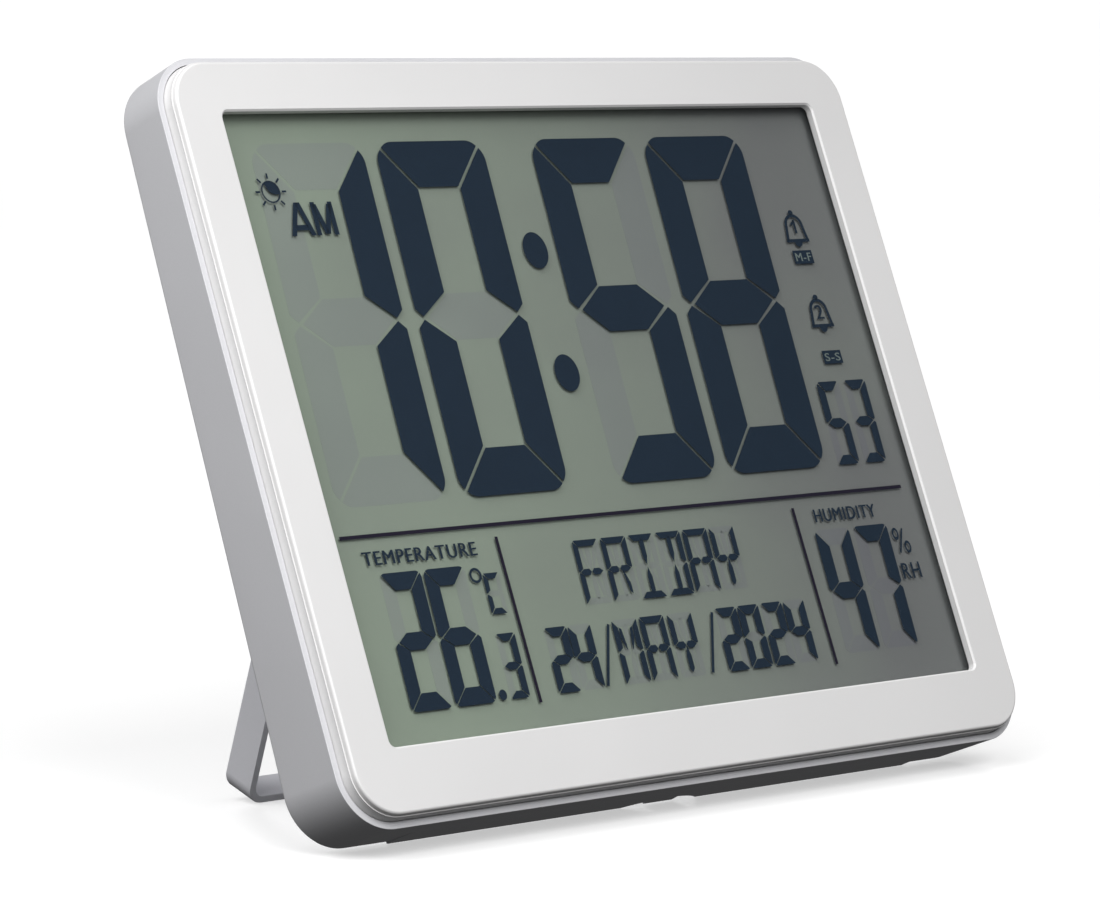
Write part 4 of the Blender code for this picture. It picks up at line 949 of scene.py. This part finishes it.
def lozenge(start, first, second, end, middle, half):
    """Level bar from a tip past two shoulders to another tip."""
    upper = [(first, middle + half), (second, middle + half)]
    lower = [(second, middle - half), (first, middle - half)]
    return [(start, middle), *upper, (end, middle), *lower]


def cell_segments(left, top, width, height, upright, level, gap, radius):
    """Outlines of a seven-segment digit's bars, in millimetres, before the slant.

    upright and level are the thicknesses of the vertical and horizontal bars.
    """
    right, middle = left + width, top - height / 2
    shift = BAR_MITRE * gap
    inner_left, inner_right = left + upright, right - upright
    top_bar = [(inner_left + shift, top - level)]
    top_bar += [(x + shift, z) for x, z in corner_arc((left, top), radius, 1, -1, 135, 90)]
    top_bar += [(x - shift, z) for x, z in corner_arc((right, top), radius, -1, -1, 90, 45)]
    top_bar += [(inner_right - shift, top - level)]
    upper_left = [(inner_left, top - level - shift)]
    upper_left += [(x, z - shift) for x, z in corner_arc((left, top), radius, 1, -1, 135, 180)]
    upper_left += [
        (left, middle + BAR_SHOULDER * upright),
        (left + BAR_NOSE * upright, middle + gap / 2 + BAR_NOSE * upright),
        (left + BAR_FOOT * upright, middle + gap / 2),
        (inner_left, middle + level / 2 + gap / 2),
    ]
    tip = BAR_TIP * upright
    places = (left + tip, inner_left + gap / 2, inner_right - gap / 2, right - tip)
    upper_right = mirrored(upper_left, left + width / 2)
    return {
        "a": top_bar,
        "f": upper_left,
        "b": upper_right,
        "g": lozenge(*places, middle, level / 2),
        "d": flipped(top_bar, middle),
        "e": flipped(upper_left, middle),
        "c": flipped(upper_right, middle),
    }


def letter_segments(left, top, width, height, upright, level, gap, radius):
    """Outlines of a fourteen-segment letter's bars: a to f as in a digit, and g G h i j k l inside.

    The bare factors are shares of a bar's thickness.
    """
    found = cell_segments(left, top, width, height, upright, level, gap, radius)
    middle, centre = top - height / 2, left + width / 2
    half = level / 2
    inner = left + upright + gap / 2
    tip = left + BAR_TIP * upright
    near = centre - gap / 2
    step = (near - inner) * 0.28
    found["g"] = lozenge(tip, inner, near - step, near, middle, half)
    found["G"] = mirrored(found["g"], centre)
    stem = upright * 0.46
    reach = top - level - gap / 2
    top_shoulder, low_shoulder = reach - level * 0.1, middle + level * 1.6
    found["i"] = [
        (centre, reach + level * 0.45),
        (centre + stem, top_shoulder),
        (centre + stem, low_shoulder),
        (centre, middle + gap),
        (centre - stem, low_shoulder),
        (centre - stem, top_shoulder),
    ]
    found["l"] = flipped(found["i"], middle)
    slope = upright * 0.9
    outer, beside = inner + gap / 2, centre - stem - gap * 0.5
    found["h"] = [
        (outer, reach),
        (outer + slope * 0.5, reach - slope * 0.3),
        (beside, middle + level),
        (beside, middle + half * 0.4),
        (centre - stem - gap, middle + half * 0.4),
        (outer, reach - slope * 1.8),
    ]
    found["j"] = mirrored(found["h"], centre)
    found["k"] = flipped(found["j"], middle)
    return found


def slanted(outline, top):
    return [(x - (top - z) * SLANT, z) for x, z in outline]


def ring(centre, radius, width, stretch=1.0, steps=DISC_STEPS):
    """Outer and inner outlines of a round line."""
    radii = (radius + width / 2, radius - width / 2)
    return tuple(disc(centre, r, stretch * r, steps) for r in radii)


def stroke(start, end, width):
    """Straight line of a width, as one block."""
    half = Vector((end[0] - start[0], end[1] - start[1])).normalized() * width / 2
    corners = zip((start, start, end, end), (1, -1, -1, 1))
    return [(x - side * half.y, z + side * half.x) for (x, z), side in corners]


def line_along(points, width):
    """Outline of a line of a width that follows points."""
    left, right = [], []
    for i, point in enumerate(points):
        before = Vector(points[max(i - 1, 0)])
        after = Vector(points[min(i + 1, len(points) - 1)])
        side = (after - before).orthogonal().normalized() * width / 2
        left.append(tuple(Vector(point) + side))
        right.append(tuple(Vector(point) - side))
    return left + right[::-1]


def upright_stroke(start, end, width):
    """Line whose ends are cut level, or straight down where it lies level."""
    if start[1] == end[1]:
        return rectangle(start[0], end[0], start[1] - width / 2, start[1] + width / 2)
    lean = math.hypot(end[0] - start[0], end[1] - start[1]) / abs(end[1] - start[1])
    corners = zip((start, start, end, end), (-1, 1, 1, -1))
    return [(x + side * width / 2 * lean, z) for (x, z), side in corners]


def rectangle(left, right, bottom, top):
    return [(left, bottom), (right, bottom), (right, top), (left, top)]


def disc(centre, across, up, steps=DISC_STEPS):
    angles = [math.tau * i / steps for i in range(steps)]
    return [(centre[0] + across * math.cos(a), centre[1] + up * math.sin(a)) for a in angles]


def add_words(shape, words, left, right, bottom, top, weight, front=INK_FRONT, back=INK_BACK):
    """Adds plain capitals that fill a box in millimetres; weight thickens their strokes sideways."""
    curve = bpy.data.curves.new("words", "FONT")
    curve.body = words
    curve.extrude = (back - front) / 2
    curve.resolution_u = 4
    curve.space_character = LETTER_SPACING
    guide = add_object("words", curve)
    graph = bpy.context.evaluated_depsgraph_get()
    mesh = bpy.data.meshes.new_from_object(guide.evaluated_get(graph))
    bpy.data.objects.remove(guide)
    low = [min(v.co[i] for v in mesh.vertices) for i in range(3)]
    high = [max(v.co[i] for v in mesh.vertices) for i in range(3)]
    wide = (right - left - weight) * MM / (high[0] - low[0])
    tall = (top - bottom) * MM / (high[1] - low[1])
    for v in mesh.vertices:
        x = left * MM + (v.co.x - low[0]) * wide
        z = bottom * MM + (v.co.y - low[1]) * tall
        v.co = (x, (front + back) / 2 - v.co.z, z)
    shape.from_mesh(mesh)
    mesh.transform(Matrix.Translation((weight * MM, (back - front) / 8, 0)))
    shape.from_mesh(mesh)
    bpy.data.meshes.remove(mesh)


def in_metres(outline):
    return [(x * MM, z * MM) for x, z in outline]


def ink_piece(name, outlines=(), words=(), look="ink", front=INK_FRONT, back=INK_BACK):
    """Display ink of these words and outlines, in millimetres; a pair of outlines makes a band."""
    shape = bmesh.new()
    for row in words:
        add_words(shape, *row)
    for outline in outlines:
        if isinstance(outline, tuple):
            add_band(shape, *map(in_metres, outline), front, back)
        else:
            add_prism(shape, in_metres(outline), front, back)
    bmesh.ops.remove_doubles(shape, verts=shape.verts, dist=INK_TINY)
    bmesh.ops.recalc_face_normals(shape, faces=shape.faces)
    deeper = front - LAYOUT_DEPTH
    for v in shape.verts:
        v.co.x += deeper * (SHIFT_RIGHT + SPREAD * v.co.x)
        v.co.z += deeper * (SHIFT_UP + SPREAD * v.co.z)
    mesh = bpy.data.meshes.new(name)
    shape.to_mesh(mesh)
    shape.free()
    mesh.transform(FACE)
    mesh.materials.append(LOOKS[look])
    piece = add_object(name, mesh)
    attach(piece, "clock")


# Fields of seven-segment digits: text, left edges and top in millimetres, then width, height,
# vertical and horizontal bar thickness, gap and corner radius
DIGIT_FIELDS = {
    "time_digits": ("1058", (-103.0, -59.5, -2.7, 40.8), 80.5, 39.0, 101.3, 11.8, 13.3, 0.9, 5.6),
    "seconds_digits": ("53", (82.4, 93.6), 4.3, 9.0, 25.1, 2.7, 2.8, 0.45, 1.0),
    "temperature_digits": ("26", (-97.8, -82.6), -39.2, 14.3, 37.5, 4.4, 4.8, 0.3, 1.7),
    "temperature_tenths": ("3", (-63.9,), -58.6, 6.9, 17.9, 2.2, 2.1, 0.3, 0.8),
    "unit_digit": ("C", (-62.6,), -41.9, 5.7, 11.3, 1.5, 1.6, 0.3, 0.3),
    "humidity_digits": ("47", (64.5, 80.2), -39.3, 13.9, 36.4, 4.45, 4.8, 0.35, 1.5),
    "date_digits": (
        "242024", (-46.6, -38.0, 17.3, 26.0, 35.2, 44.0), -58.5, 8.3, 18.1, 2.6, 2.6, 0.3, 0.9
    ),
}
LETTER_FIELDS = {
    "weekday_letters": (
        "FRIDAY", (-28.0, -17.65, -7.3, 3.05, 13.4, 23.75), -35.4, 9.4, 18.1, 1.75, 1.8, 0.25, 0.6
    ),
    "month_letters": ("MAY", (-21.8, -11.6, -1.0), -58.5, 9.2, 18.1, 1.9, 2.0, 0.25, 0.6),
}


def make_digits():
    """Lit bars in ink, and all the other bars as faint ghosts."""
    ghosts = []
    fields = [
        (DIGIT_FIELDS, DIGIT_SEGMENTS, cell_segments),
        (LETTER_FIELDS, LETTER_SEGMENTS, letter_segments),
    ]
    for table, patterns, outlines_of in fields:
        for name, (text, lefts, top, *sizes) in table.items():
            lit = []
            for character, left in zip(text, lefts):
                for bar, outline in outlines_of(left, top, *sizes).items():
                    wanted = lit if bar in patterns[character] else ghosts
                    wanted.append(slanted(outline, top))
            ink_piece(name, lit)
    ink_piece("unlit_bars", ghosts, look="ghost_ink", front=GHOST_FRONT, back=GHOST_BACK)


def make_rules():
    rules = [
        rectangle(-107.5, 104.7, -29.3, -28.3),
        rectangle(-54.8, -53.8, -78.3, -32.2),
        rectangle(58.0, 59.0, -78.3, -32.2),
    ]
    ink_piece("separator_lines", rules, look="rule_ink")


def bell(centre_x, top, bottom, half_width, line):
    """Bell outline: knob, dome, sides, base and clapper."""
    base = bottom + 1.7
    dome = top - 1.2
    radius = half_width - 0.9
    spring = dome - radius
    blocks = [disc((centre_x, top - 0.8), 0.95, 0.8, 20)]
    blocks.append(rectangle(centre_x - half_width, centre_x + half_width, base, base + line))
    hem = base + line / 2
    points = arc((centre_x, spring), radius - line / 2, 180, 0, 18)
    points = [(centre_x - radius - 0.3, hem), *points, (centre_x + radius + 0.3, hem)]
    blocks.append(line_along(points, line))
    blocks.append(arc((centre_x, base), 1.5, 180, 360, 12))
    return blocks


def make_icons():
    """Colon, point, degree ring, percent sign, date strokes, bells, and the boxes and words of the alarm days."""
    colon = [disc((-11.5, 47.8), 4.4, 5.35), disc((-12.5, 12.0), 4.4, 5.35)]
    ink_piece("colon_dots", colon)
    ink_piece("decimal_point", [disc((-66.7, -75.0), 1.3, 1.45)])
    ink_piece("degree_ring", [ring((-65.0, -42.2), 1.75, 0.7)])
    dashes = [stroke((-29.1, -76.2), (-23.1, -59.4), 0.9), stroke((10.4, -76.2), (16.2, -59.4), 0.9)]
    ink_piece("date_strokes", dashes)
    percent = [stroke((96.8, -48.4), (99.9, -41.2), 0.6)]
    percent += [ring(centre, 1.0, 0.55, 1.45, 28) for centre in ((96.7, -42.7), (100.4, -46.8))]
    ink_piece("percent_sign", percent)
    bells = bell(92.1, 57.0, 45.4, 4.6, 0.95) + bell(92.2, 30.8, 19.1, 4.5, 0.95)
    bells += [rectangle(91.9, 92.7, 49.8, 54.0), stroke((92.4, 53.7), (90.9, 52.4), 0.7)]
    ink_piece("alarm_bells", bells, [("2", 90.6, 93.7, 23.3, 27.6, 0.25)])
    boxes = [rectangle(88.3, 96.1, 40.4, 44.5), rectangle(88.4, 96.0, 9.6, 13.6)]
    ink_piece("alarm_day_boxes", boxes)
    words = [
        ("M-F", 89.0, 95.4, 41.2, 43.7, 0.12, WORDS_FRONT, WORDS_BACK),
        ("S-S", 89.1, 95.3, 10.4, 12.8, 0.12, WORDS_FRONT, WORDS_BACK),
    ]
    ink_piece("alarm_day_words", words=words, look="clear_words")


def make_day_symbol():
    """Sun with eight rays round a disc that holds a crescent."""
    centre = Vector((-99.4, 67.0))
    rays = []
    for i in range(8):
        angle = math.radians(45 * i)
        out = Vector((math.cos(angle), math.sin(angle)))
        rays.append(stroke(centre + 3.7 * out, centre + 5.2 * out, 0.55))
    crescent = arc(centre, 2.9, 125, -15, 20)
    first, last = Vector(crescent[0]), Vector(crescent[-1])
    inward = (centre - (first + last) / 2).normalized()
    shares = [i / 12 for i in range(1, 12)]
    bow = [tuple(last.lerp(first, t) + inward * 1.25 * math.sin(math.pi * t)) for t in shares]
    blocks = [*rays, ring(centre, 2.95, 0.42), crescent + bow]
    ink_piece("day_symbol", blocks)


def make_words():
    """Names of the three fields, and the letters of the morning, drawn stroke by stroke."""
    words = [
        ("TEMPERATURE", -101.7, -62.2, -36.8, -33.0, 0.22),
        ("HUMIDITY", 66.2, 91.3, -37.0, -33.2, 0.22),
        ("RH", 95.2, 102.8, -56.2, -51.5, 0.15),
    ]
    ink_piece("field_words", words=words)
    top, bottom, width = 63.8, 54.4, 1.5
    legs = [
        ((-95.3, bottom), (-92.1, top)),
        ((-88.5, bottom), (-91.7, top)),
        ((-93.9, 56.7), (-89.9, 56.7)),
        ((-86.6, bottom), (-86.6, top)),
        ((-80.6, bottom), (-80.6, top)),
        ((-86.2, top - 0.6), (-83.6, bottom + 0.3)),
        ((-81.0, top - 0.6), (-83.5, bottom + 0.3)),
    ]
    ink_piece("half_day_letters", [upright_stroke(*leg, width) for leg in legs])


# ---- Looks of the frame's own nodes, floor, lights and camera ----


def dress_nodes():
    slots = {row["node"]: row["material_slot"] for row in frame["record"]["subparts"]}
    for name, thing in frame["nodes"].items():
        thing.data.materials.clear()
        thing.data.materials.append(LOOKS[slots[name]])


def make_floor():
    """Pale floor that curves up far away into a low wall all round, and throws no light back."""
    radius, bend, top = 5.0, 1.5, 3.0
    profile = [(0, 0), (0.5, 0), (2.0, 0)]
    profile += [(radius - bend + x, bend + z) for x, z in arc((0, 0), bend, -90, 0, 16)]
    profile += [(radius, top)]
    floor = placed("floor", lathe(profile, FLOOR_STEPS), Matrix.Identity(4))
    floor.data.shade_smooth()
    glow = {"Emission_Color": (1, 1, 1, 1), "Emission_Strength": FLOOR_GLOW}
    floor.data.materials.append(finish("floor", (0.5, 0.5, 0.5), 0.9, 40, 0, 2, 0.004, **glow))
    floor.visible_diffuse = False
    floor.visible_glossy = False
    floor.visible_shadow = False


def aim(thing, direction):
    """Turns a light or a camera to look along a direction."""
    thing.rotation_mode = "QUATERNION"
    thing.rotation_quaternion = direction.to_track_quat("-Z", "Y")


def add_lamp(name, kind, power):
    made = add_object(name, bpy.data.lights.new(name, kind))
    made.data.energy = power
    return made


def add_light(name, place, size, power):
    """Square soft light aimed at the clock."""
    made = add_lamp(name, "AREA", power)
    made.data.size = size
    made.location = place
    made.visible_camera = False
    aim(made, LIT_POINT - Vector(place))


def add_sun(name, travel, power, width):
    """Distant light that travels one way and looks some degrees wide."""
    made = add_lamp(name, "SUN", power)
    made.data.angle = math.radians(width)
    aim(made, Vector(travel))
    return made


def make_lights():
    world = bpy.data.worlds.new("studio")
    bpy.context.scene.world = world
    world.use_nodes = True
    background = world.node_tree.nodes["Background"]
    background.inputs["Color"].default_value = (1, 1, 1, 1)
    background.inputs["Strength"].default_value = AMBIENT
    add_sun("front", (0.1, 0.7, -0.7), 1.9, 35)
    add_sun("left", (0.55, 0, -0.83), 1.55, 50)
    add_sun("rear", (-0.5, -0.84, -0.2), 2.9, 12).visible_glossy = False
    add_light("key", (-0.22, -0.35, 0.3), 0.35, 0.73)
    add_light("side_fill", (-0.45, -0.05, 0.4), 0.4, 0.95)


def make_camera():
    data = bpy.data.cameras.new("camera")
    data.lens = CAMERA_LENS
    data.sensor_width = SENSOR_WIDTH
    data.clip_start = 0.05
    data.clip_end = 50
    camera = add_object("camera", data)
    camera.location = FACE.translation + CAMERA_PLACE
    aim(camera, CAMERA_AIM)
    bpy.context.scene.camera = camera


LOOKS = make_looks()
make_camera()
dress_nodes()
make_front_frame()
make_case()
make_label()
make_door()
make_buttons()
make_stand()
make_screws()
make_panes()
make_digits()
make_rules()
make_icons()
make_day_symbol()
make_words()
make_floor()
make_lights()
bpy.context.scene.view_settings.view_transform = "Standard"
